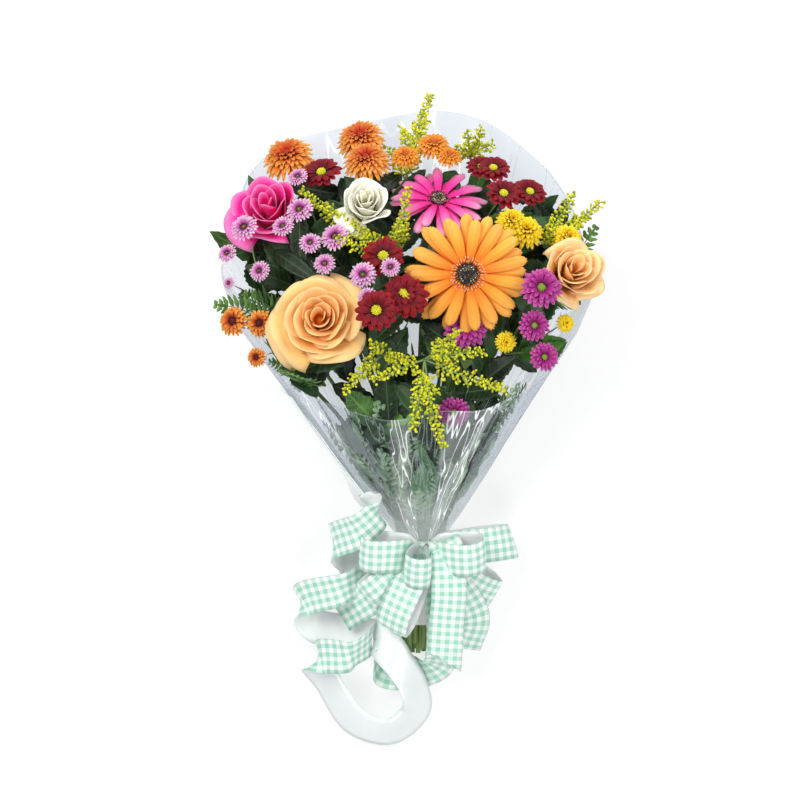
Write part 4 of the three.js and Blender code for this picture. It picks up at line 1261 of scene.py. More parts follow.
@dataclass
class Spray:
    """A branched stem with small heads of one kind."""

    node: str
    kind: HeadKind
    slot: str
    heads: tuple[tuple[float, float, float, float], ...]
    seed: int = 1

    def find(self, frame: FrameNode, head: tuple[float, float, float, float]) -> tuple[np.ndarray, np.ndarray]:
        """Finds where the frame holds a head.

        Args:
            frame: The frame node.
            head: Planned x, y, sink and radius.

        Returns:
            The head's middle and its facing.
        """
        x, y, sink, radius = head
        facing = dome_facing(x, y)
        plan = np.array([x, y, dome_height(x, y) - sink])
        best, place = 0.0, plan
        for slide in np.arange(-34, 34.1, 2.0):
            for aside in ((0, 0), (5, 0), (-5, 0), (0, 5), (0, -5)):
                at = plan + facing * slide + np.array([*aside, 0.0])
                up, out = from_axis(frame.points, at, facing)
                rim = (out > 0.5 * radius) & (out < 1.15 * radius) & (np.abs(up) < 0.4 * radius)
                count = float(rim.sum()) - 0.02 * abs(slide) - 0.01 * (abs(aside[0]) + abs(aside[1]))
                if count > best:
                    best, place = count, at
        near = None
        for _ in range(4):
            up, out = from_axis(frame.points, place, facing)
            near = frame.points[(out < 1.2 * radius) & (np.abs(up) < 0.5 * radius)]
            if len(near) < 8:
                return place, facing
            place = place * 0.4 + near.mean(0) * 0.6
        rim = near[np.linalg.norm(near - place, axis=1) > 0.7 * radius]
        if len(rim) > 8:
            _, _, axes = np.linalg.svd(rim - rim.mean(0))
            tilt = axes[2] * math.copysign(1.0, float(axes[2] @ facing))
            if float(tilt @ facing) > 0.88:
                facing = unit(tilt * 0.6 + facing * 0.4)
        return place, facing

    def build(self, shop: Workshop) -> None:
        """Builds the heads and the stalks of the spray.

        Args:
            shop: The workshop.
        """
        frame = FrameNode(shop, self.node)
        chance = np.random.default_rng(self.seed)
        shape = HEAD_SHAPES[self.kind]
        models = [(shape.blades(chance), shape.middle(chance)) for _ in range(2)]
        blades, solids, greens = [], [], []
        lost = np.zeros(len(frame.points), bool)
        for number, head in enumerate(self.heads):
            place, facing = self.find(frame, head)
            radius = head[3]
            turn = stand(facing, draw(chance, 0, 6.28))
            petals, middle = models[number % 2]
            blades.append(petals.moved(turn, place, radius * 1.04))
            solids.append(middle.moved(turn, place, radius))
            greens.append(shape.calyx().moved(turn, place, radius))
            up, out = from_axis(frame.points, place, facing)
            lost |= (out < 1.3 * radius) & (up > -0.55 * radius) & (up < 1.2 * radius)
        materials = [HEAD_PETALS[self.kind].material(), HEAD_HEARTS[self.kind].material()]
        heads = shop.bloom_piece(self.node + "_heads", blades, solids, materials, 0.3)
        shop.hand_over(heads, [self.node])
        stalks = [shop.mesh_piece(self.node + "_cups", Form.joined(greens), [STALK.material()])]
        stalk = shop.join(self.node + "_stalks", stalks + stalk_pieces(shop, self.node, frame, lost))
        shop.hand_over(stalk, [self.node])


SPRAYS: tuple[Spray, ...] = (
    Spray("santini_lilac_left", HeadKind.LILAC, "lilac_head",
          ((-144, 272, 0, 12), (-139, 248, 4, 9.4), (-168, 264, 2, 8.6), (-166, 238, 4, 5.5)), 11),
    Spray("santini_lilac_middle", HeadKind.LILAC, "lilac_head",
          ((-119, 285, -22, 9.4), (-104, 300, -20, 12), (-96, 271, -8, 9.4), (-73, 276, -6, 12.5),
           (-83, 253, 0, 9.4), (-104, 322, 0, 8.6)), 12),
    Spray("santini_lilac_right", HeadKind.LILAC, "lilac_head",
          ((-50, 243, -10, 11.6), (-46, 224, -12, 8.4), (-27, 249, -16, 8.4)), 13),
    Spray("daisy_red_front", HeadKind.RED, "dark_red_head",
          ((-33, 259, 4, 18), (-22, 231, 2, 14.6), (-4, 217, 0, 18.4), (-40, 205, 2, 17.6)), 14),
    Spray("daisy_red_left", HeadKind.RED, "dark_red_head", ((-87, 335, 2, 17),), 15),
    Spray("daisy_red_right", HeadKind.RED, "dark_red_head",
          ((68, 313, 0, 15.4), (72, 338, 6, 15), (94, 317, 0, 14.6), (50, 340, 10, 13)), 16),
    Spray("daisy_purple_middle", HeadKind.PURPLE, "purple_head", ((38, 202, 26, 20),), 17),
    Spray("daisy_purple_right", HeadKind.PURPLE, "purple_head",
          ((98, 228, 0, 17.6), (74, 240, 14, 12.8), (94, 201, 4, 13.5), (103, 174, 4, 12.6)), 18),
    Spray("daisy_purple_lip", HeadKind.PURPLE, "purple_head", ((27, 128, 24, 13.5),), 19),
    Spray("mum_orange_left", HeadKind.BRONZE, "orange_head", ((-117, 349, 0, 23),), 20),
    Spray("mum_orange_middle", HeadKind.BRONZE, "orange_head", ((-53, 366, 0, 21.5), (-48, 343, -4, 20.5)), 21),
    Spray("mum_orange_right", HeadKind.BUTTON, "orange_head",
          ((8, 362, -2, 15), (-14, 348, -8, 12.5), (25, 350, -2, 11)), 22),
    Spray("santini_bronze", HeadKind.SANTINI, "orange_head",
          ((-162, 205, 6, 13), (-138, 203, 8, 12), (-141, 174, 4, 8.6)), 23),
    Spray("pompon_yellow_right", HeadKind.YELLOW, "yellow_head",
          ((73, 292, 8, 13.8), (92, 279, 6, 15.4), (125, 276, 14, 13.8)), 24),
    Spray("pompon_yellow_low", HeadKind.YELLOW, "yellow_head", ((122, 203, 10, 8), (71, 187, 24, 9.4)), 25),
)


# ---- Gerberas --------------------------------------------------------------------------------


@dataclass
class Gerbera:
    """A gerbera with two layers of long rays, a dark disc and a fringe of filaments."""

    node: str
    slot: str
    facing: Point
    reach: float
    disc: float
    rays: int
    petals: PetalFinish
    fringe: PetalFinish
    seed: int = 3

    def ray(self, reach: float, wide: float, rise: float, droop: float, shade: float) -> Form:
        """Shapes one ray with lengthwise folds and a notched, rounded tip.

        Args:
            reach: Distance of its tip from the axis.
            wide: Half its width.
            rise: Height that its middle gains.
            droop: Height that its tip loses.
            shade: How deep it lies in the bloom, which paints it darker as shade.

        Returns:
            The ray, along the x axis.
        """
        root = self.disc * 0.72

        def place(u: np.ndarray, v: np.ndarray) -> np.ndarray:
            """Places corners from shares along and across."""
            half = wide * (0.34 + 0.66 * np.sin(math.pi / 2 * np.clip(u * 1.5, 0, 1)) ** 1.1)
            half = half * np.where(u > 0.8, np.sqrt(np.clip(1 - ((u - 0.8) / 0.235) ** 2, 0.02, 1)), 1)
            notch = 0.02 * np.cos(v * 2.5 * math.pi) * (u > 0.94)
            x = root + (reach - root) * (u * (1 - 0.03 * v * v) - notch)
            folds = 0.05 * wide * np.cos(v * 3 * math.pi) * np.sin(math.pi * np.clip(u, 0, 1))
            z = rise * np.sin(math.pi * 0.62 * u) - droop * u**2.2 - 0.32 * half * v * v + folds
            return np.stack([x, v * half, z], 1)

        return patch(14, 8, place, shade=shade)

    def build(self, shop: Workshop) -> None:
        """Builds rays, disc and stem.

        Args:
            shop: The workshop.
        """
        chance = np.random.default_rng(self.seed)
        facing = unit(self.facing)
        seat = FrameNode(shop, self.node + "_disc").points.mean(0) - facing * 3.6
        blades = []
        layers = (
            (self.rays - 3, self.reach, 0.19, 4.5, 6.5, 1.0, 0.0),
            (self.rays - 4, self.reach * 0.95, 0.18, 6.5, 4.0, 0.9, 2.0),
        )
        turn = stand(facing)
        for number, (count, reach, wide, rise, droop, shade, lift) in enumerate(layers):
            for k in range(count):
                long = reach * (1 + draw(chance, -0.05, 0.05))
                model = self.ray(long, wide * self.reach * 0.56, rise, droop + draw(chance, -2.5, 3.5), shade)
                angle = (k + 0.5 * (number % 2) + draw(chance, -0.14, 0.14)) * 2 * math.pi / count
                ray = model.moved(spun(angle), (0, 0, lift)).toned(3, draw(chance))
                blades.append(ray.moved(turn, seat))
        rays = shop.bloom_piece(self.node + "_ray_blades", blades, [], [self.petals.material()], 0.5)
        shop.hand_over(rays, [self.node + "_rays"])
        self.build_disc(shop, seat, turn, chance)
        stem = self.node + "_stem"
        for piece in stalk_pieces(shop, self.node, FrameNode(shop, stem)):
            shop.hand_over(piece, [stem])

    def build_disc(self, shop: Workshop, seat: np.ndarray, turn: np.ndarray, chance: Chance) -> None:
        """Builds the dark dome of florets and the fringe round it.

        Args:
            shop: The workshop.
            seat: Middle of the bloom.
            turn: Turn to its facing.
            chance: Source of small differences.
        """
        solids = [bead((0, 0, 3.2), (self.disc * 0.8, self.disc * 0.8, 2.6), (0.0, 0.5, 0.5, 0.3), Look.HEART, 3)]
        for k in range(150):
            share = math.sqrt((k + 0.5) / 150)
            angle = k * GOLDEN_ANGLE
            out = self.disc * 0.78 * share
            place = (out * math.cos(angle), out * math.sin(angle), 5.6 - 1.9 * share * share)
            pale = 0.8 if 0.66 < share < 0.74 and k % 2 else 0.05
            grain = 0.5 + 0.25 * share
            solids.append(bead(place, (grain, grain, 1.0), (pale, 0.5, 0.5, draw(chance)), Look.HEART))
        blades = []
        for ring, (count, out, long, high) in enumerate(((34, 0.72, 0.34, 3.4), (40, 0.86, 0.46, 2.0))):
            shape = PetalRing(count, out, out + long, 0.035, high / self.disc, 0.02, 0.4, 0.28 - 0.08 * ring, 4, 1)
            blades.extend(petal.moved(np.eye(3), (0, 0, 0), self.disc) for petal in shape.petals(chance))
        heart = DotFinish(self.node + "_heart", "1A0806", "F0DDB0")
        form = Form.joined(blades).moved(turn, seat)
        disc = shop.bloom_piece(
            self.node + "_disc_florets", [form], [Form.joined(solids).moved(turn, seat)],
            [self.fringe.material(), heart.material()], 0.4,
        )
        shop.hand_over(disc, [self.node + "_disc"])


GERBERAS: tuple[Gerbera, ...] = (
    Gerbera(
        "gerbera_orange", "orange_ray", (0.05, -0.2, 1), 52, 12, 19,
        PetalFinish(
            "orange_rays", ((0.0, "F0640E"), (0.22, "FC8620"), (0.55, "FDA83C"), (1.0, "FEC25C")),
            "EE7018", 0.5, 2.0, 0.5
        ),
        PetalFinish("orange_fringe", ((0.0, "7A2A0C"), (0.6, "F08A3A"), (1.0, "FFE9C0")), "2A0A04", 0.2, 1.0),
    ),
    Gerbera(
        "gerbera_pink", "pink_ray", (0.1, 0.75, 0.75), 42, 9, 15,
        PetalFinish(
            "pink_rays", ((0.0, "E4107E"), (0.4, "F53AA0"), (0.75, "F983C0"), (1.0, "FCC0DE")),
            "C80E6C", 0.5, 2.0, 0.5
        ),
        PetalFinish("magenta_fringe", ((0.0, "3A0420"), (0.5, "9A0E54"), (1.0, "F06AB0")), "2A0216", 0.2, 1.0),
        4,
    ),
)


# ---- Roses -----------------------------------------------------------------------------------


@dataclass
class Rose:
    """A rose of many petals wound round a tight heart."""

    node: str
    slot: str
    at: Point
    facing: Point
    radius: float
    depth: float
    opened: float
    petals: int
    finish: PetalFinish
    seed: int = 5
    flare: tuple[tuple[float, float], ...] = ()

    def petal(self, share: float, angle: float, chance: Chance, extra: float = 0.0) -> Form:
        """Shapes one petal of the spiral.

        Args:
            share: 0 for the innermost petal and 1 for the outermost.
            angle: Where its middle stands round the axis.
            chance: Source of small differences.
            extra: How much further an outer petal falls open.

        Returns:
            The petal, facing up the z axis.
        """
        radius, depth, opened = self.radius, self.depth, self.opened
        rim = radius * (0.08 + mix(0.56, 0.68, opened) * share**0.9) * draw(chance, 0.93, 1.07)
        span = mix(1.35, mix(0.95, 0.78, opened), share) * draw(chance, 0.85, 1.15)
        top = depth * mix(1.0, mix(0.8, 0.46, opened), share**1.3) + draw(chance, -1.3, 1.3)
        foot = -depth * 0.55
        curl = radius * (mix(0.06, mix(0.16, 0.26, opened), share) + extra) * draw(chance, 0.6, 1.3)
        wave, phase = 0.035 * radius * (0.3 + share), draw(chance, 0, 6.28)
        pinch = draw(chance, 0.04, 0.16) * (0.3 + 0.7 * share)
        tilt, lift = draw(chance, -0.12, 0.12), draw(chance, 0.42, 0.62)

        def place(u: np.ndarray, v: np.ndarray) -> np.ndarray:
            """Places corners from shares along and across."""
            swell = np.sin(math.pi / 2 * np.clip(u, 0, 1)) ** 0.8
            out = radius * 0.1 + (rim - radius * 0.1) * swell
            roll = np.clip((u - lift) / (1 - lift), 0, 1)
            out = out + curl * roll**1.8 * (1.15 - 0.35 * v * v)
            out = out + (0.1 * rim + tilt * 6) * v * swell + wave * np.sin(4 * v + phase) * roll
            high = foot + (top - foot) * u ** 0.9
            dip = 0.26 * np.abs(v) ** 2.4 - pinch * np.exp(-((v / 0.3) ** 2)) + tilt * v
            high = high - 0.75 * curl * roll**2.6 - (top - foot) * dip * u**2
            turn = angle + v * span * (0.35 + 0.65 * np.sin(math.pi * 0.62 * np.clip(u + 0.12, 0, 1)))
            return np.stack([out * np.cos(turn), out * np.sin(turn), high], 1)

        # Inner petals get a lower shade tone, which paints them darker as shade.
        return patch(14, 14, place, shade=0.35 + 0.65 * share).toned(3, draw(chance))

    def build(self, shop: Workshop) -> None:
        """Builds the bloom, its sepals and its stem.

        Args:
            shop: The workshop.
        """
        chance = np.random.default_rng(self.seed)
        facing = unit(self.facing)
        turn = stand(facing)
        blades = []
        for k in range(self.petals):
            share = k / (self.petals - 1)
            blades.append(self.petal(share, k * GOLDEN_ANGLE * 1.02, chance).moved(turn, self.at))
        for angle, extra in self.flare:
            blades.append(self.petal(1.0, angle, chance, extra).moved(turn, self.at))
        # The core gets a low shade tone, which paints it darker as shade.
        size = (self.radius * 0.2, self.radius * 0.2, self.depth * 0.5)
        core = bead((0, 0, -self.depth * 0.15), size, (0.1, 0.5, 0.2, 0.5), Look.PETAL, 2).moved(turn, self.at)
        bloom = shop.bloom_piece(self.node + "_petals", blades, [core], [self.finish.material()], ROSE_WALL)
        shop.hand_over(bloom, [self.node + "_bloom"])
        parts = stalk_pieces(shop, self.node, FrameNode(shop, self.node + "_stem"))
        sepals = []
        seat = np.asarray(self.at, float) - facing * self.depth * 0.55
        for k in range(5):
            angle = k * 2 * math.pi / 5 + 0.3
            out = np.array([math.cos(angle), math.sin(angle), 0.0]) @ turn
            tip = seat + out * self.radius * 0.86 - facing * (1 + 3 * (k % 2))
            middle = (seat + tip) / 2 + facing * 0.12 * self.radius
            sepals.append(leaf_form([seat + out * 2, middle, tip], facing, 5.0, 0.0, 0.9))
        cup = shop.mesh_piece(self.node + "_sepals", Form.joined(sepals), [LEAF.material()])
        shop.thicken(cup, 0.5)
        stalk = shop.join(self.node + "_stalks", [*parts, cup])
        shop.hand_over(stalk, [self.node + "_stem"])


ROSES: tuple[Rose, ...] = (
    Rose(
        "rose_peach_front", "peach_petal", (-87, 205, 143), (0, 0.16, 1), 39, 30, 1.0, 23,
        PetalFinish(
            "peach_petals", ((0.0, "F5922A"), (0.4, "FBB458"), (0.75, "FDC979"), (1.0, "FED89A")),
            "F28A26", 0.42, 1.0, 0.15
        ), 51, ((3.6, 0.1), (5.2, 0.12), (0.6, 0.08)),
    ),
    Rose(
        "rose_peach_side", "peach_petal", (125, 245, 126), (0.3, 0.3, 1), 31, 28, 0.6, 19,
        PetalFinish(
            "pale_peach_petals", ((0.0, "F8A840"), (0.4, "FCC070"), (0.75, "FDD08C"), (1.0, "FEDFA8")),
            "F49A38", 0.36, 1.0, 0.15
        ), 52, ((4.2, 0.3), (5.6, 0.2)),
    ),
    Rose(
        "rose_pink", "hot_pink_petal", (-130, 297, 88), (-0.18, 0.5, 1), 33, 34, 0.35, 15,
        PetalFinish(
            "hot_pink_petals", ((0.0, "F58A9C"), (0.45, "F65AA0"), (0.8, "F9219C"), (1.0, "FA90CC")),
            "E0107E", 0.4, 1.0, 0.15
        ), 53, ((3.5, 0.28), (4.5, 0.14)),
    ),
    Rose(
        "rose_white", "white_petal", (-48, 301, 113), (0, 0.42, 1), 26, 30, 0.3, 17,
        PetalFinish(
            "cream_petals", ((0.0, "E6E4A8"), (0.4, "F7F3D8"), (0.8, "FCFAEE"), (1.0, "FFFEF8")),
            "E4E2A8", 0.3, 1.0, 0.15
        ), 54, ((3.9, 0.2),),
    ),
)


# ---- Goldenrod and greenery ------------------------------------------------------------------


def leaf_form(
    line: Sequence[Point], face: Point, half: float, teeth: float, shade: float = 0.8, rows: int = 22, cols: int = 6
) -> Form:
    """Shapes a leaf with toothed edges, a folded midrib and side veins.

    Args:
        line: Points from its root to its tip.
        face: The way its upper side looks.
        half: Half its width.
        teeth: Depth of the teeth as a share of its width.
        shade: How brightly it lies, 0 for deep inside.
        rows: Faces along it.
        cols: Faces across it.

    Returns:
        The leaf.
    """
    stations = np.asarray(line, float)
    face = unit(face)

    def place(u: np.ndarray, v: np.ndarray) -> np.ndarray:
        """Places corners from shares along and across."""
        middle = catmull(stations, u)
        way = unit(stations[-1] - stations[0])
        side = unit(np.cross(face, way))
        up = np.cross(way, side)
        swell = np.sin(math.pi * np.clip(u, 0.0, 1) ** 0.8) ** 0.8
        saw = 1 - teeth * np.abs(v) * ((u * rows / 2.0) % 1.0)
        wide = half * np.maximum(swell * saw, 0.04)
        lean = np.abs(v) * wide * 0.28
        ripple = 0.04 * half * np.sin(u * 26) * np.abs(v)
        return middle + (v * wide)[:, None] * side + (lean + ripple)[:, None] * up

    return patch(rows, cols, place, Look.GREEN, shade)


def frond_forms(
    line: Sequence[Point], face: Point, half: float, pairs: int, shade: float, chance: Chance
) -> list[Form]:
    """Shapes a fern frond of many leaflets on a midrib.

    Args:
        line: Points from its root to its tip.
        face: The way its upper side looks.
        half: Half its width.
        pairs: Number of leaflet pairs.
        shade: How brightly it lies.
        chance: Source of small differences.

    Returns:
        The leaflets and the midrib.
    """
    stations = np.asarray(line, float)
    face = unit(face)
    forms = []
    wide = max(float(np.linalg.norm(stations[-1] - stations[0])) / pairs * 0.42, 1.2)
    for k in range(pairs):
        share = 0.1 + 0.88 * k / (pairs - 1)
        at, ahead = catmull(stations, np.array([share, min(share + 0.05, 1.0)]))
        way = unit(ahead - at) if share < 0.98 else unit(stations[-1] - stations[-2])
        side = unit(np.cross(face, way))
        reach = half * 1.12 * max(math.sin(math.pi * (0.16 + 0.8 * share)) ** 0.8, 0.16)
        for hand in (-1, 1):
            out = unit(side * hand + way * 0.75 + face * draw(chance, -0.18, 0.12))
            tip = at + out * reach * draw(chance, 0.92, 1.06)
            middle = (at + tip) / 2 + face * reach * 0.06
            leaflet = leaf_form([at, middle, tip], face, wide, 0.5, shade, 5, 2)
            forms.append(leaflet.toned(3, draw(chance)))
    spine = catmull(stations, np.linspace(0, 1, 8))
    forms.append(leaf_form([spine[-2], (spine[-2] + spine[-1]) / 2, spine[-1]], face, 1.6, 0.2, shade, 5, 2))
    return forms


def cone_place(point: np.ndarray) -> tuple[np.ndarray, float]:
    """Finds where a point lies in the cone of film.

    Args:
        point: The point.

    Returns:
        The nearest point of the cone's axis, and how far out it is: 0 on the axis and 1 on the film.
    """
    x, y, z = point[0], point[1] - NECK_HALF, point[2] - NECK_HEIGHT
    ahead, rise = math.cos(FILM_RISE), math.sin(FILM_RISE)
    reach = y * ahead + z * rise
    aside = math.sin(FILM_LEAN) * reach
    deep = -y * rise + z * ahead
    axis = np.array([-aside, NECK_HALF + ahead * reach, NECK_HEIGHT + rise * reach])
    return axis, math.hypot((x + aside) / (FILM_NECK + FILM_WIDE * reach), deep / (FILM_NECK + FILM_DEEP * reach))


@dataclass
class Fork:
    """A place where leaves leave a stem: each leaf has a tip, a width and how deep it is cut."""

    at: Point
    leaves: tuple[tuple[Point, float, float], ...]


@dataclass
class LeafyStem:
    """A stem with fronds or toothed leaves at its forks."""

    node: str
    forks: tuple[Fork, ...]
    shade: float = 0.9
    seed: int = 7
    most: float = 9.0

    def course(self, part: np.ndarray, root: np.ndarray) -> np.ndarray:
        """Follows the middle of a leaf from its root to its furthest point.

        Args:
            part: Corners of the leaf.
            root: Where it leaves the stem.

        Returns:
            Five points along the leaf.
        """
        far = part[np.argmax(np.linalg.norm(part - root, axis=1))]
        way = far - root
        share = (part - root) @ way / float(way @ way)
        line = [root]
        for step in (0.25, 0.5, 0.75):
            near = part[np.abs(share - step) < 0.14]
            straight = root + way * step
            middle = near.mean(0) if len(near) > 3 else straight
            line.append(straight * 0.4 + middle * 0.6)
        return np.array([*line, far])

    def drawn_in(self, point: np.ndarray) -> np.ndarray:
        """Returns the point, moved in where it lies too far out in the cone of film."""
        axis, share = cone_place(point)
        return axis + (point - axis) * min(1.0, self.most / max(share, 0.01))

    def gap(self, points: np.ndarray, root: np.ndarray, tip: np.ndarray) -> np.ndarray:
        """Returns how far points lie from the line between a leaf's root and its planned tip."""
        way = tip - root
        share = np.clip((points - root) @ way / float(way @ way), 0, 1)
        return np.linalg.norm(points - root - share[:, None] * way, axis=1)

    def build(self, shop: Workshop) -> None:
        """Builds the leaves and the stem.

        Args:
            shop: The workshop.
        """
        frame = FrameNode(shop, self.node)
        chance = np.random.default_rng(self.seed)
        places = [frame.crowd(fork.at, 34 if k == 0 else 8) for k, fork in enumerate(self.forks)]
        lost = np.zeros(len(frame.points), bool)
        for place in places:
            lost |= np.linalg.norm(frame.points - place, axis=1) < 4.2
        parts = [frame.points[part] for part in frame.islands(lost)]
        loose = [part for part in parts if part[:, 1].min() > -40]
        loose = np.concatenate(loose) if loose else np.zeros((0, 3))
        plans = [
            (place, np.asarray(tip, float), width, notch)
            for fork, place in zip(self.forks, places)
            for tip, width, notch in fork.leaves
        ]
        nearest = np.argmin([self.gap(loose, plan[0], plan[1]) for plan in plans], axis=0)
        blades, solids = [], []
        for number, (place, tip, width, notch) in enumerate(plans):
            part = loose[nearest == number]
            face = np.array([0.0, -0.15, 1.0])
            if len(part) >= FEWEST_CORNERS:
                _, _, axes = np.linalg.svd(part - part.mean(0))
                face = axes[2] * math.copysign(1.0, float(axes[2][2]))
            else:
                part = np.array([place * (1 - s) + tip * s for s in np.linspace(0.1, 1, 9)])
            line = np.array([self.drawn_in(point) for point in self.course(part, place)])
            if notch < FROND_NOTCH:
                blades.extend(frond_forms(line, face, width * 0.62, 15, self.shade, chance))
                solids.append(tube(catmull(line, np.linspace(0, 0.98, 12)), np.linspace(0.9, 0.35, 12), 5))
            else:
                leaf = leaf_form(line, face, width * 0.56, 0.22, self.shade)
                blades.append(leaf.toned(3, draw(chance)))
                solids.append(tube(catmull(line, np.linspace(0, 0.9, 10)), np.linspace(0.8, 0.3, 10), 5))
        for one, two in zip(places, places[1:]):
            solids.append(tube(catmull([one, (one + two) / 2, two], np.linspace(0, 1, 8)), np.full(8, 1.3), 7))
        finish = FERN if any(plan[3] < FROND_NOTCH for plan in plans) else LEAF
        piece = shop.bloom_piece(self.node + "_blades", blades, solids, [finish.material()], 0.4)
        shop.hand_over(piece, [self.node])
        for stalk in stalk_pieces(shop, self.node, frame, lost):
            shop.hand_over(stalk, [self.node])


LEAFY_STEMS: tuple[LeafyStem, ...] = (
    LeafyStem("leaves_back", (
        Fork((30, 276, 72), (((-14, 318, 84), 24, 0.78), ((100, 300, 84), 24, 0.78), ((56, 350, 56), 22, 0.78))),
    ), 0.8, 61),
    LeafyStem("fern_inside_left", (
        Fork((-34, 62, 66), (((-92, 110, 100), 24, 0.45), ((-52, 112, 98), 24, 0.45), ((-66, 84, 76), 20, 0.5))),
        Fork((-36, 118, 108), (((-90, 138, 130), 24, 0.8), ((-14, 106, 124), 16, 0.8), ((20, 148, 128), 22, 0.78))),
    ), 1.0, 62, 0.66),
    LeafyStem("fern_inside_right", (
        Fork((32, 62, 68), (((84, 116, 98), 26, 0.45), ((56, 122, 112), 24, 0.45), ((62, 84, 80), 20, 0.5))),
    ), 1.0, 63, 0.6),
    LeafyStem("ferns_left", (
        Fork((-84, 150, 92), (((-184, 172, 120), 26, 0.45), ((-150, 190, 104), 22, 0.5))),
        Fork((-112, 200, 80), (((-184, 214, 100), 26, 0.45), ((-176, 250, 82), 24, 0.5))),
        Fork((-112, 262, 56), (((-176, 286, 72), 26, 0.78), ((-152, 322, 60), 26, 0.78), ((-94, 334, 50), 24, 0.78))),
    ), 0.9, 64),
    LeafyStem("fern_right", (
        Fork((104, 222, 80), (((152, 288, 90), 24, 0.45), ((146, 240, 86), 22, 0.5))),
    ), 0.9, 65),
    LeafyStem("leaves_right", (
        Fork((84, 176, 100), (((134, 216, 118), 24, 0.78), ((128, 176, 110), 22, 0.78), ((60, 220, 112), 20, 0.78))),
    ), 0.9, 66),
    LeafyStem("leaves_middle", (
        Fork((50, 190, 84), (((0, 200, 116), 26, 0.78), ((68, 160, 112), 22, 0.78))),
    ), 0.85, 67),
)


@dataclass
class Goldenrod:
    """A goldenrod stem whose twigs are set with small yellow buds."""

    node: str
    root: Point
    ends: tuple[Point, ...]
    seed: int = 9
    bud: float = 2.9

    def build(self, shop: Workshop) -> None:
        """Builds the twigs, the buds and the stem.

        Args:
            shop: The workshop.
        """
        frame = FrameNode(shop, self.node)
        chance = np.random.default_rng(self.seed)
        root = frame.crowd(self.root, 34)
        greens, buds = [], []
        for end in self.ends:
            end = np.asarray(end, float)
            long = float(np.linalg.norm(end - root))
            bow = np.array([*chance.uniform(-0.05, 0.05, 2), 0.07]) * long
            stations = [root, (root + end) / 2 + bow, end]
            line = catmull(stations, np.linspace(0, 1, 14))
            greens.append(tube(line, np.linspace(1.0, 0.45, 14), 5))
            way = unit(end - root)
            side = unit(np.cross(way, UP))
            count = max(int(long / TWIG_GAP), 8)
            for k in range(count):
                share = mix(0.16, 1.0, k / (count - 1))
                at = catmull(stations, np.array([share]))[0]
                hand = (-1) ** k
                reach = mix(11.0, 3.5, share) * draw(chance, 0.6, 1.15)
                out = unit(side * hand + way * draw(chance, 0.3, 1.0) + UP * draw(chance, -0.35, 0.6))
                tip = at + out * reach
                twig = np.array([at, (at + tip) / 2 + UP * 0.4, tip])
                greens.append(tube(twig, np.array([0.45, 0.38, 0.3]), 4))
                row = max(3, int(reach / BUD_GAP))
                for n in range(row):
                    along = (n + 0.7) / row
                    place = at + (tip - at) * along + chance.normal(0, 0.75, 3)
                    grow = unit(out + chance.normal(0, 0.6, 3) + UP * 0.4)
                    size = draw(chance, 0.75, 1.2) * self.bud * 0.5
                    tone = (draw(chance, 0.2, 1), 0.5, 0.5, draw(chance))
                    buds.append(bead(place, (size * 0.8, size * 0.8, size * 1.35), tone, Look.PETAL, 1, stand(grow)))
        finish = DotFinish("goldenrod_buds", "8C9A10", "DEDC1C", 0.5)
        piece = shop.mesh_piece(self.node + "_buds", Form.joined(buds), [finish.material()])
        shop.hand_over(piece, [self.node])
        lost = np.linalg.norm(frame.points - root, axis=1) < 3.4
        parts = [shop.mesh_piece(self.node + "_twigs", Form.joined(greens), [STALK.material()])]
        parts += stalk_pieces(shop, self.node, frame, lost)
        shop.hand_over(shop.join(self.node + "_stalks", parts), [self.node])


GOLDENROD: tuple[Goldenrod, ...] = (
    Goldenrod("goldenrod_tall", (-14, 330, 70), ((8, 409, 30), (-16, 378, 50), (-30, 360, 66), (4, 386, 44)), 71),
    Goldenrod("goldenrod_back", (42, 350, 56), ((52, 376, 76), (30, 358, 84), (62, 362, 68), (40, 372, 78)), 72),
    Goldenrod("goldenrod_middle", (-22, 262, 128),
              ((-12, 320, 126), (-104, 319, 106), (-84, 305, 124), (-72, 275, 152), (-20, 290, 146)), 73),
    Goldenrod("goldenrod_right", (104, 272, 106),
              ((156, 310, 84), (112, 282, 116), (132, 316, 88), (140, 296, 96)), 74),
    Goldenrod("goldenrod_front", (2, 172, 156),
              ((17, 99, 167), (-42, 154, 170), (52, 178, 172), (70, 146, 162), (-8, 113, 166), (30, 196, 180)), 75),
    Goldenrod("goldenrod_low", (-34, 176, 142), ((-66, 145, 156), (-14, 172, 168), (-44, 186, 160)), 76),
)


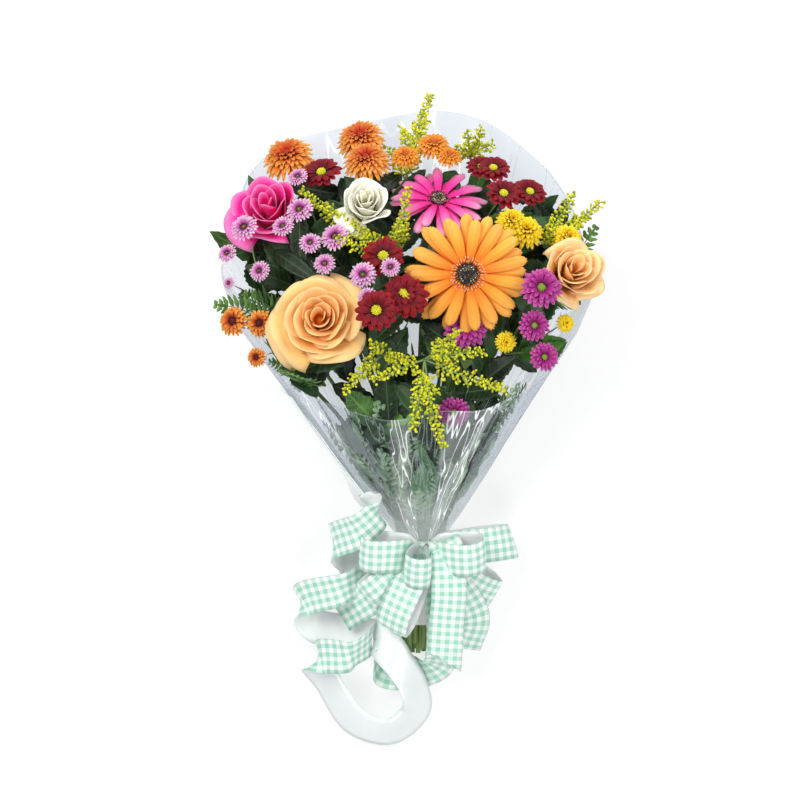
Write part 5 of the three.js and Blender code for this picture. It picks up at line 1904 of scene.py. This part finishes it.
@dataclass
class InnerLeaves:
    """The mass of fronds and leaves inside the cone, between the stems and under the blooms."""

    low: int = 130
    high: int = 250
    seed: int = 81

    def build(self, shop: Workshop) -> None:
        """Builds the leaves that fill the cone.

        Args:
            shop: The workshop.
        """
        chance = np.random.default_rng(self.seed)
        piles = (("inner_fronds", self.low_fronds, PALE_FERN), ("inner_leaves", self.high_leaves, SHADED_FILLER))
        for name, shape, finish in piles:
            shop.hand_over(shop.bloom_piece(name, shape(chance), [], [finish.material()], 0.3))

    def low_fronds(self, chance: Chance) -> list[Form]:
        """Shapes fronds and leaves that lie along the film, from the neck to the lip.

        Args:
            chance: Source of small differences.

        Returns:
            The leaflets.
        """
        out = []
        for k in range(self.low):
            around = k * GOLDEN_ANGLE
            if math.cos(around) < -0.2 and k % 3:
                continue
            start, long = draw(chance, 22, 105), draw(chance, 45, 75)
            deep = draw(chance, 0.55, 0.9)
            turn = draw(chance, -0.35, 0.35)
            one = self.inside(start, around, deep * 0.75)
            two = self.inside(start + long * 0.5, around + turn * 0.5, deep * 0.95)
            three = self.inside(start + long, around + turn, deep)
            face = unit(self.inside(start + long, around, 1.0) - self.inside(start + long, around, 0.4))
            face = unit(face + chance.normal(0, 0.2, 3))
            # Fronds nearer the axis get a lower shade tone and are painted darker as shade.
            shade = float(np.clip(0.45 + 0.65 * deep, 0.3, 1.0))
            if k % 4 == 0:
                out.append(leaf_form([one, two, three], face, 11, 0.22, shade).toned(3, draw(chance)))
            else:
                out.extend(frond_forms([one, two, three], face, 15, 11, shade, chance))
        return out

    def high_leaves(self, chance: Chance) -> list[Form]:
        """Shapes leaves that lie flat in the dark under the blooms.

        Args:
            chance: Source of small differences.

        Returns:
            The leaves.
        """
        out = []
        for _ in range(self.high):
            y = draw(chance, 96, 325)
            x = draw(chance, -1, 1) * min(0.62 * y + 24, 140) - 8
            z = dome_height(x, y) - draw(chance, 28, 74)
            turn = draw(chance, 0, 2 * math.pi)
            way = np.array([math.cos(turn), math.sin(turn) + 0.5, draw(chance, -0.1, 0.35)])
            way = unit(way) * draw(chance, 34, 58)
            one = np.array([x, y, z]) - way / 2
            three = one + way
            two = (one + three) / 2 + UP * 4
            if any(cone_place(point)[1] > 0.9 or point[2] < 8 for point in (one, two, three)):
                continue
            face = unit(np.array([0, 0, 1.0]) + chance.normal(0, 0.25, 3))
            # A low shade tone darkens them further: painted shade under the blooms.
            shade = draw(chance, 0.35, 0.75)
            half = draw(chance, 8, 13)
            out.append(leaf_form([one, two, three], face, half, 0.25, shade, 16).toned(3, draw(chance)))
        return out

    def inside(self, along: float, around: float, share: float) -> np.ndarray:
        """Returns a point inside the cone.

        Args:
            along: Distance from the neck along the cone.
            around: Place round it.
            share: 0 on the axis and 1 on the film.

        Returns:
            The point.
        """
        middle = (film_points(along, around, 0) + film_points(along, around + math.pi, 0)) / 2
        wall = film_points(along, around, 2.0)
        return (middle + (wall - middle) * share).reshape(3)


# ---- Film ------------------------------------------------------------------------------------


def film_points(along: np.ndarray | float, around: np.ndarray | float, inset: np.ndarray | float) -> np.ndarray:
    """Returns points of the film cone.

    Args:
        along: Distance from the middle of the neck.
        around: Angle round it, 0 at the upper lip.
        inset: Distance inside the outer face.

    Returns:
        One point for each entry.
    """
    along, around = np.broadcast_arrays(np.asarray(along, float), np.asarray(around, float))
    reach = np.maximum(along - NECK_HALF, 0)
    tilt = FILM_RISE * np.minimum(reach / 30, 1)
    pleat = 1 + 0.018 * np.sin(7 * around + 1) * np.minimum(reach / 60, 1)
    flare = np.where(along < -NECK_HALF, (-NECK_HALF - along) * 0.03, 0)
    wide = (FILM_NECK + flare + FILM_WIDE * reach) * pleat - inset
    deep = (FILM_NECK + flare + FILM_DEEP * reach) * pleat - inset
    x = -math.sin(FILM_LEAN) * reach + wide * np.sin(around)
    y = np.minimum(along, NECK_HALF) + math.cos(FILM_RISE) * reach - deep * np.cos(around) * np.sin(tilt)
    z = NECK_HEIGHT + math.sin(FILM_RISE) * reach + deep * np.cos(around) * np.cos(tilt)
    return np.stack([x, y, np.maximum(z, inset)], -1)


def rim_reach(around: np.ndarray) -> np.ndarray:
    """Returns how far the film reaches at each angle."""
    share = (1 + np.cos(around)) / 2
    wave = 4 * np.sin(5 * around + 0.6) + 2.5 * np.sin(9 * around)
    return 1 / (1 / FILM_BACK + (1 / FILM_FRONT - 1 / FILM_BACK) * share) + wave


@dataclass
class FilmWrap:
    """The clear film cone with its short sleeve, creased and gathered at the neck."""

    node: str = "film_wrap"
    sides: int = 168
    steps: int = 96
    neck_top: float = 0.16
    neck_band: float = 0.04
    wall: float = 0.25
    finish: FilmFinish = FilmFinish()

    def crumple(self, along: np.ndarray, around: np.ndarray, share: np.ndarray) -> np.ndarray:
        """Adds up folds, gathers and waves.

        Args:
            along: Distance from the neck.
            around: Angle round the cone.
            share: 0 at the neck and 1 at the rim.

        Returns:
            How far they push the film in, in millimetres.
        """
        reach = np.clip(along / 160, 0, 1)
        folds = np.zeros_like(along)
        chance = np.random.default_rng(90)
        for _ in range(26):
            centre = draw(chance, -math.pi, math.pi)
            slope = draw(chance, -0.5, 0.5)
            width = draw(chance, 0.025, 0.08)
            start, stop = sorted(chance.uniform(0.0, 1.1, 2))
            size = draw(chance, -1.3, 1.5)
            off = (around - centre - slope * (share - 0.4) + math.pi) % (2 * math.pi) - math.pi
            window = np.clip((share - start) * 8, 0, 1) * np.clip((stop - share) * 8, 0, 1)
            folds += size * np.maximum(1 - np.abs(off) / width, 0) * window
        gathers = 0.5 * np.sin(31 * around + 2 * np.sin(3 * around)) * np.clip(1 - share * 2.2, 0, 1)
        waves = 0.9 * np.sin(13 * around + 5 * share) * reach + 0.5 * np.sin(23 * around - 9 * share) * reach
        return np.clip(folds + gathers + waves, -1.8, 1.8)

    def build(self, shop: Workshop) -> None:
        """Builds the film from an open cylinder that is cut into rings and shaped.

        Args:
            shop: The workshop.
        """
        add = bpy.ops.mesh.primitive_cylinder_add
        piece = primitive(add, vertices=self.sides, radius=1, depth=2, end_fill_type="NOTHING")
        piece.name = self.node + "_sheet"
        heights = [-0.5, *(-1 + 2 * step / self.steps for step in range(1, self.steps))]
        edit_all(*(partial(bpy.ops.mesh.bisect, plane_co=(0, 0, high), plane_no=(0, 0, 1)) for high in heights))
        raw = read_corners(piece.data)
        around = np.arctan2(raw[:, 0], raw[:, 1])
        share = (raw[:, 2] + 1) / 2
        open_share = (share - self.neck_top) / (1 - self.neck_top)
        high = NECK_HALF + open_share * rim_reach(around)
        neck = -NECK_HALF + 2 * NECK_HALF * np.clip((share - self.neck_top + self.neck_band) / self.neck_band, 0, 1)
        foot = self.neck_top - self.neck_band
        low = -NECK_HALF - FILM_SLEEVE * (1 - share / foot)
        along = np.where(share < foot, low, np.where(share < self.neck_top, neck, high))
        grown = np.clip(open_share, 0, 1)
        push = self.crumple(along, around, grown) * np.clip(np.abs(along) / 40 - 0.3, 0, 1)
        points = film_points(along, around, 0.4 + push)
        points[:, 2] = np.maximum(points[:, 2], 0.3)
        piece.data.vertices.foreach_set("co", (points * MM + shop.neck).ravel())
        tone = piece.data.attributes.new("tone", "FLOAT_COLOR", "POINT")
        colour = np.stack([grown, np.sin(around) / 2 + 0.5, np.cos(around) / 2 + 0.5, np.ones(len(raw))], 1)
        tone.data.foreach_set("color", colour.astype(np.float32).ravel())
        piece.data.materials.append(self.finish.material())
        edit_all(lambda: bpy.ops.mesh.remove_doubles(threshold=1e-6), face_outward)
        shop.thicken(piece, self.wall, -1)
        bpy.ops.object.shade_smooth()
        shop.hand_over(piece, [self.node])


# ---- Ribbon ----------------------------------------------------------------------------------


@dataclass
class RibbonStrip:
    """A cut length of ribbon that follows stations, gingham outside and satin inside."""

    name: str
    line: np.ndarray
    lay: np.ndarray
    narrow: tuple[float, float] = (1.0, 1.0)
    face_up: bool = True
    pointed: bool = False

    def length(self) -> float:
        """Returns the length of its middle line in millimetres."""
        return float(np.linalg.norm(np.diff(self.line, axis=0), axis=1).sum())

    def build(self, shop: Workshop, materials: Sequence[Material]) -> Piece:
        """Builds the strip from a grid that is laid along its line.

        Args:
            shop: The workshop.
            materials: Face and reverse.

        Returns:
            The strip, with its map in millimetres.
        """
        steps, cols = len(self.line) - 1, 6
        add = bpy.ops.mesh.primitive_grid_add
        piece = primitive(add, x_subdivisions=steps, y_subdivisions=cols, size=2, calc_uvs=True)
        piece.name = self.name
        raw = read_corners(piece.data)
        station = np.clip(np.round((raw[:, 0] + 1) / 2 * steps).astype(int), 0, steps)
        run = np.concatenate([[0.0], np.cumsum(np.linalg.norm(np.diff(self.line, axis=0), axis=1))])
        share = run / run[-1]
        squeeze = np.interp(share, [0, 0.12, 0.88, 1], [self.narrow[0], 1, 1, self.narrow[1]])
        ways = np.gradient(self.line, axis=0)
        lays = self.lay - ways * ((self.lay * ways).sum(1) / np.maximum((ways * ways).sum(1), 1e-9))[:, None]
        lays /= np.linalg.norm(lays, axis=1)[:, None]
        half = RIBBON_WIDTH / 2 * squeeze[station] * raw[:, 1]
        ends = np.cross(ways, lays)
        ends /= np.maximum(np.linalg.norm(ends, axis=1), 1e-9)[:, None]
        arch = -0.03 * RIBBON_WIDTH * (raw[:, 1] ** 2)
        cut = np.zeros(len(raw)) if not self.pointed else np.clip((share[station] - 0.86) / 0.14, 0, 1) * raw[:, 1] * 9
        points = self.line[station] + lays[station] * half[:, None] + ends[station] * arch[:, None]
        paces = np.maximum(np.linalg.norm(ways[station], axis=1), 1e-9)[:, None]
        points += ways[station] / paces * cut[:, None]
        piece.data.vertices.foreach_set("co", (points * MM + shop.neck).ravel())
        map_layer = piece.data.uv_layers.active
        map_layer.name = "strip"
        flat = np.stack([RIBBON_WIDTH / 2 * squeeze[station] * raw[:, 1] + 0.5, run[station] + cut], 1)
        map_layer.data.foreach_set("uv", flat[read_loops(piece.data)].astype(np.float32).ravel())
        for material in materials:
            piece.data.materials.append(material)
        shop.choose(piece)
        if not self.face_up:
            edit_all(bpy.ops.mesh.flip_normals)
        shop.thicken(piece, RIBBON_WALL, reverse=1)
        bpy.ops.object.shade_smooth()
        return piece


@dataclass(frozen=True)
class BowLoop:
    """One loop of the bow: where it points, how its width lies, its length, depth and lift."""

    out: Point
    across: Point
    length: float
    opening: float
    lift: float


CURL_ON_FILM = ((162, -75, 3), (132, -78, 3.5), (104, -77, 4), (78, -72, 5.5), (60, -60, 9))
CURL_FREE = (
    (-38, 40, 75, 0, 1, 0.2), (-54, 24, 77, 0.2, 0.9, 0.35), (-78, 12, 56, 0, 1, 0.2), (-66, -4, 34, -0.3, 0.95, 0),
    (-48, -16, 34, 0, 1, 0), (-70, -29, 50, 0.25, 0.9, 0.35), (-107, -42, 32, 0, 1, 0.2),
    (-95, -64, 18, -0.2, 1, 0), (-66, -70, 17, 0, 1, 0), (-44, -74, 30, 0.1, 1, 0.1),
    (-64, -88, 52, 0.4, 0.85, 0.35), (-92, -92, 36, 0.3, 0.9, 0.3), (-80, -122, 18, 0.8, 0.2, 0.55),
    (-60, -150, 17, 0.5, 0.7, 0.5), (-28, -160, 17, 0, 0.8, 0.6), (-6, -142, 24, -0.5, 0.6, 0.6),
    (-6, -118, 38, -0.7, -0.3, 0.6), (-22, -92, 44, -0.5, -0.75, 0.4), (-42, -72, 30, 0, -1, 0),
    (-34, -104, 14, 0.3, -1, 0), (-4, -106, 13, 0.7, -0.7, 0), (14, -100, 26, 1, -0.2, 0),
    (17, -82, 45, 1, 0, 0), (14, -45, 46, 1, 0, 0), (8, -10, 50, 1, 0, 0),
)
LOOPS: tuple[BowLoop, ...] = (
    BowLoop((-1, 0.02, 0.1), (0.05, 0.93, 0.36), 56, 26, 3),
    BowLoop((-0.75, -0.6, -0.1), (-0.6, 0.78, 0.2), 64, 16, -3),
    BowLoop((-0.36, -0.9, -0.1), (0.8, -0.4, 0.3), 74, 24, 0),
    BowLoop((-0.12, -0.5, 0.8), (0.05, 0.85, 0.5), 34, 26, 3),
    BowLoop((1, 0, 0.2), (-0.05, 0.92, 0.4), 56, 30, 2),
    BowLoop((1, 0.12, -0.25), (-0.3, 0.9, 0.1), 84, 22, -2),
    BowLoop((0.86, -0.5, -0.3), (0.4, 0.75, 0.4), 78, 20, -2),
)
TAILS = (
    (
        (6, 10, 58, 1, 0.1, 0), (19, 12, 70, 1, 0.1, 0.05), (24, -25, 69, 1, 0.05, 0), (22, -60, 56, 1, 0, 0),
        (20, -94, 44, 1, -0.1, 0),
    ),
    ((6, 0, 50, 0.6, 0.8, 0), (32, -30, 44, 0.9, 0.5, 0), (46, -58, 28, 0.9, 0.42, 0), (38, -84, 14, 0.9, 0.42, 0.1)),
    (
        (-4, 0, 50, -0.3, 1, 0), (-30, -26, 42, -0.5, 0.86, 0), (-52, -42, 26, -0.5, 0.86, 0),
        (-72, -55, 12, -0.5, 0.86, 0),
    ),
)


@dataclass
class Ribbon:
    """The gingham ribbon: the tie round the neck, the bow, its tails and the long curl."""

    node: str = "ribbon_bow"
    tie: str = "ribbon_tie"

    def fit_lift(self, frame: FrameNode, make: Callable[[float], np.ndarray], lifts: Sequence[float]) -> float:
        """Finds how far the frame lifts a strip.

        Args:
            frame: The frame node.
            make: Gives the strip's middle line for a lift.
            lifts: Lifts to try.

        Returns:
            The lift whose line lies closest to the frame's corners.
        """
        best, found = 1e9, lifts[0]
        for lift in lifts:
            line = make(lift)[:: max(1, len(make(lift)) // 24)]
            gaps = np.linalg.norm(frame.points[:, None] - line[None], axis=2).min(0)
            score = float(np.abs(gaps - RIBBON_WIDTH / 2).mean())
            if score < best:
                best, found = score, lift
        return found

    def loop_line(self, loop: BowLoop, rise: float) -> np.ndarray:
        """Returns the middle line of a loop that is lifted by rise."""
        ahead, lay = unit(loop.out), unit(loop.across)
        deep = unit(np.cross(ahead, lay))
        shape = ((0.02, 0.05), (0.4, 0.4), (0.8, 0.5), (1, 0.1), (0.88, -0.38), (0.45, -0.36), (0.04, -0.05))
        stations = [
            KNOT + ahead * far * loop.length + deep * side * loop.opening + UP * (loop.lift + rise) * min(far * 3, 1)
            for far, side in shape
        ]
        return catmull(stations, np.linspace(0, 1, 49))

    def strips(self, frame: FrameNode) -> list[RibbonStrip]:
        """Lays out every strip of the bow.

        Args:
            frame: The frame node.

        Returns:
            The strips.
        """
        out = []
        for number, loop in enumerate(LOOPS):
            rise = self.fit_lift(frame, lambda lift, loop=loop: self.loop_line(loop, lift), np.arange(0, 16))
            line = self.loop_line(loop, rise)
            lay = np.tile(unit(loop.across), (len(line), 1))
            deep = np.cross(unit(loop.out), unit(loop.across))
            ways = np.gradient(line, axis=0)
            outward = np.cross(ways[12], lay[12]) @ deep
            out.append(RibbonStrip(f"bow_loop_{number + 1}", line, lay, (0.3, 0.3), bool(outward > 0)))
        for number, tail in enumerate(TAILS):
            stations = np.array(tail, float)

            def tail_line(lift: float, stations: np.ndarray = stations) -> np.ndarray:
                """Returns the tail's middle line for a lift."""
                return catmull(stations[:, :3] + UP * lift, np.linspace(0, 1, 45))

            rise = self.fit_lift(frame, tail_line, np.arange(0, 16))
            lays = stations[:, 3:] / np.linalg.norm(stations[:, 3:], axis=1)[:, None]
            line, lay = tail_line(rise), catmull(lays, np.linspace(0, 1, 45))
            up = np.cross(np.gradient(line, axis=0)[22], lay[22])[2]
            out.append(RibbonStrip(f"bow_tail_{number + 1}", line, lay, (0.45, 1.0), up > 0, number == 0))
        out.append(self.curl(frame))
        return out

    def curl(self, frame: FrameNode) -> RibbonStrip:
        """Lays out the long curl that comes down over the film.

        Args:
            frame: The frame node.

        Returns:
            The strip.
        """
        stations, lays = [], []
        for along, degrees, off in CURL_ON_FILM:
            around = math.radians(degrees)
            side = film_points(along, around + 0.1, -off) - film_points(along, around - 0.1, -off)
            stations.append(film_points(along, around, -off).reshape(3))
            lays.append(unit(side.reshape(3)))
        for x, y, z, a, b, c in CURL_FREE:
            stations.append(np.array([x, y, z], float))
            lays.append(unit([a, b, c]))
        stations = np.array(stations)

        def curl_line(lift: float) -> np.ndarray:
            """Returns the curl's middle line for a lift."""
            return catmull(stations + UP * lift, np.linspace(0, 1, 291))

        rise = self.fit_lift(frame, curl_line, np.arange(0, 8, 0.5))
        return RibbonStrip("ribbon_curl", curl_line(rise), catmull(lays, np.linspace(0, 1, 291)), (1.0, 0.5), False)

    def build(self, shop: Workshop) -> None:
        """Builds the tie, the knot and every strip.

        Args:
            shop: The workshop.
        """
        materials = [GinghamFinish().material(), SatinFinish().material()]
        for strip in self.strips(FrameNode(shop, self.node)):
            self.finish_strip(shop, strip, materials, self.node)
        self.finish_strip(shop, self.knot_strip(), materials, self.node)
        self.finish_strip(shop, self.tie_strip(), materials, self.tie)

    def finish_strip(
        self, shop: Workshop, strip: RibbonStrip, materials: Sequence[Material], node: str
    ) -> None:
        """Args:
            shop: The workshop.
            strip: The strip.
            materials: Face and reverse.
            node: Frame node that it replaces.
        """
        piece = strip.build(shop, materials)
        shop.hand_over(piece, [node])
        strip.length() * MM

    def knot_strip(self) -> RibbonStrip:
        """Lays out the knot as a short pinched band over the middle of the bow."""
        angles = np.linspace(0, 2 * math.pi, 49)
        line = KNOT + np.stack([1.5 * np.sin(3 * angles), 9.5 * np.cos(angles), 8.0 * np.sin(angles)], 1)
        return RibbonStrip("bow_knot", line, np.tile([1.0, 0.05, 0.0], (49, 1)), (0.72, 0.72))

    def tie_strip(self) -> RibbonStrip:
        """Lays out the band wound round the neck."""
        angles = np.linspace(0, 2 * math.pi, 97)
        line = np.stack([TIE_RADIUS * np.sin(angles), np.zeros(97), NECK_HEIGHT + TIE_RADIUS * np.cos(angles)], 1)
        narrow = TIE_WIDTH / RIBBON_WIDTH
        return RibbonStrip("neck_tie", line, np.tile([0.0, 1.0, 0.0], (97, 1)), (narrow, narrow))


# ---- The scene -------------------------------------------------------------------------------


@dataclass(frozen=True)
class SoftLight:
    """A square light: its place from the middle of the bunch and side in metres, and its power in watts."""

    name: str
    place: tuple[float, float, float]
    side: float
    power: float


LIGHTS: tuple[SoftLight, ...] = (
    SoftLight("key", (-0.9, 0.6, 1.5), 0.9, 21),
    SoftLight("fill", (1.1, 0.2, 1.3), 0.9, 11),
    SoftLight("low", (0.1, -1.3, 1.1), 0.8, 9),
    SoftLight("rim", (0.2, 1.4, 0.5), 0.7, 8),
)


@dataclass
class Studio:
    """A pale floor, soft lights and a camera straight above the bunch, in metres from the neck."""

    floor_grey: float = 0.38
    floor_glow: float = 0.64
    air: float = 0.33
    middle: tuple[float, float, float] = (0.0, 0.15, 0.08)
    eye: tuple[float, float, float] = (-0.019, 0.1376, 2.6)
    lens: float = 129.8
    sensor: float = 36.0

    def build(self, shop: Workshop) -> None:
        """Sets the stage.

        Args:
            shop: The workshop.
        """
        scene = bpy.context.scene
        spot = (shop.neck[0], shop.neck[1] + 0.14, -0.0005)
        floor = primitive(bpy.ops.mesh.primitive_plane_add, size=6, location=spot)
        floor.name = "studio_floor"
        material, nodes, shader = new_material("pale_floor")
        nodes.put(shader, {
            "Base Color": (self.floor_grey,) * 3, "Roughness": 0.9, "Specular IOR Level": 0.0,
            "Emission Color": (1.0, 1.0, 1.0), "Emission Strength": self.floor_glow,
        })
        floor.data.materials.append(material)
        floor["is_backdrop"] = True
        for light in LIGHTS:
            self.area(light, shop.neck + np.array(self.middle))
        world = bpy.data.worlds.new("studio_air")
        world.use_nodes = True
        Nodes(world.node_tree).put(world.node_tree.nodes["Background"], {0: (0.93, 0.96, 1.0), 1: self.air})
        scene.world = world
        camera = bpy.data.objects.new("camera", bpy.data.cameras.new("camera"))
        scene.collection.objects.link(camera)
        camera.data.sensor_width = self.sensor
        camera.data.lens = self.lens
        camera.data.clip_end = 50
        camera.location = tuple(shop.neck + np.array(self.eye))
        scene.camera = camera
        scene.view_settings.view_transform = "Standard"

    def area(self, light: SoftLight, target: np.ndarray) -> None:
        """Adds a soft square light that looks at a target.

        Args:
            light: Its name, place, size and power.
            target: What it looks at.
        """
        lamp = bpy.data.objects.new(light.name, bpy.data.lights.new(light.name, "AREA"))
        lamp.data.size = light.side
        lamp.data.energy = light.power
        bpy.context.scene.collection.objects.link(lamp)
        place = target + np.array(light.place)
        lamp.location = tuple(place)
        away = unit(place - target)
        side = unit(np.cross([0.0, 1.0, 0.001], away))
        lamp.rotation_euler = Matrix(np.stack([side, np.cross(away, side), away], 1).tolist()).to_euler()


def corners(bounds: tuple) -> list[list[float]]:
    """Returns a box's two corners as plain lists."""
    return [[float(v) for v in corner] for corner in bounds]


def main() -> None:
    """Builds the bouquet piece by piece and the stage round it."""
    logging.basicConfig(level=logging.INFO, format="%(name)s: %(message)s")
    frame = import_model()
    frame_box = corners(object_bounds())
    shop = Workshop(frame)
    Studio().build(shop)
    FilmWrap().build(shop)
    Ribbon().build(shop)
    for gerbera in GERBERAS:
        gerbera.build(shop)
    for rose in ROSES:
        rose.build(shop)
    for spray in SPRAYS:
        spray.build(shop)
    for stem in LEAFY_STEMS:
        stem.build(shop)
    for rod in GOLDENROD:
        rod.build(shop)
    InnerLeaves().build(shop)
    {"frame": frame_box, "visual": corners(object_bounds())}


if __name__ == "__main__":
    main()
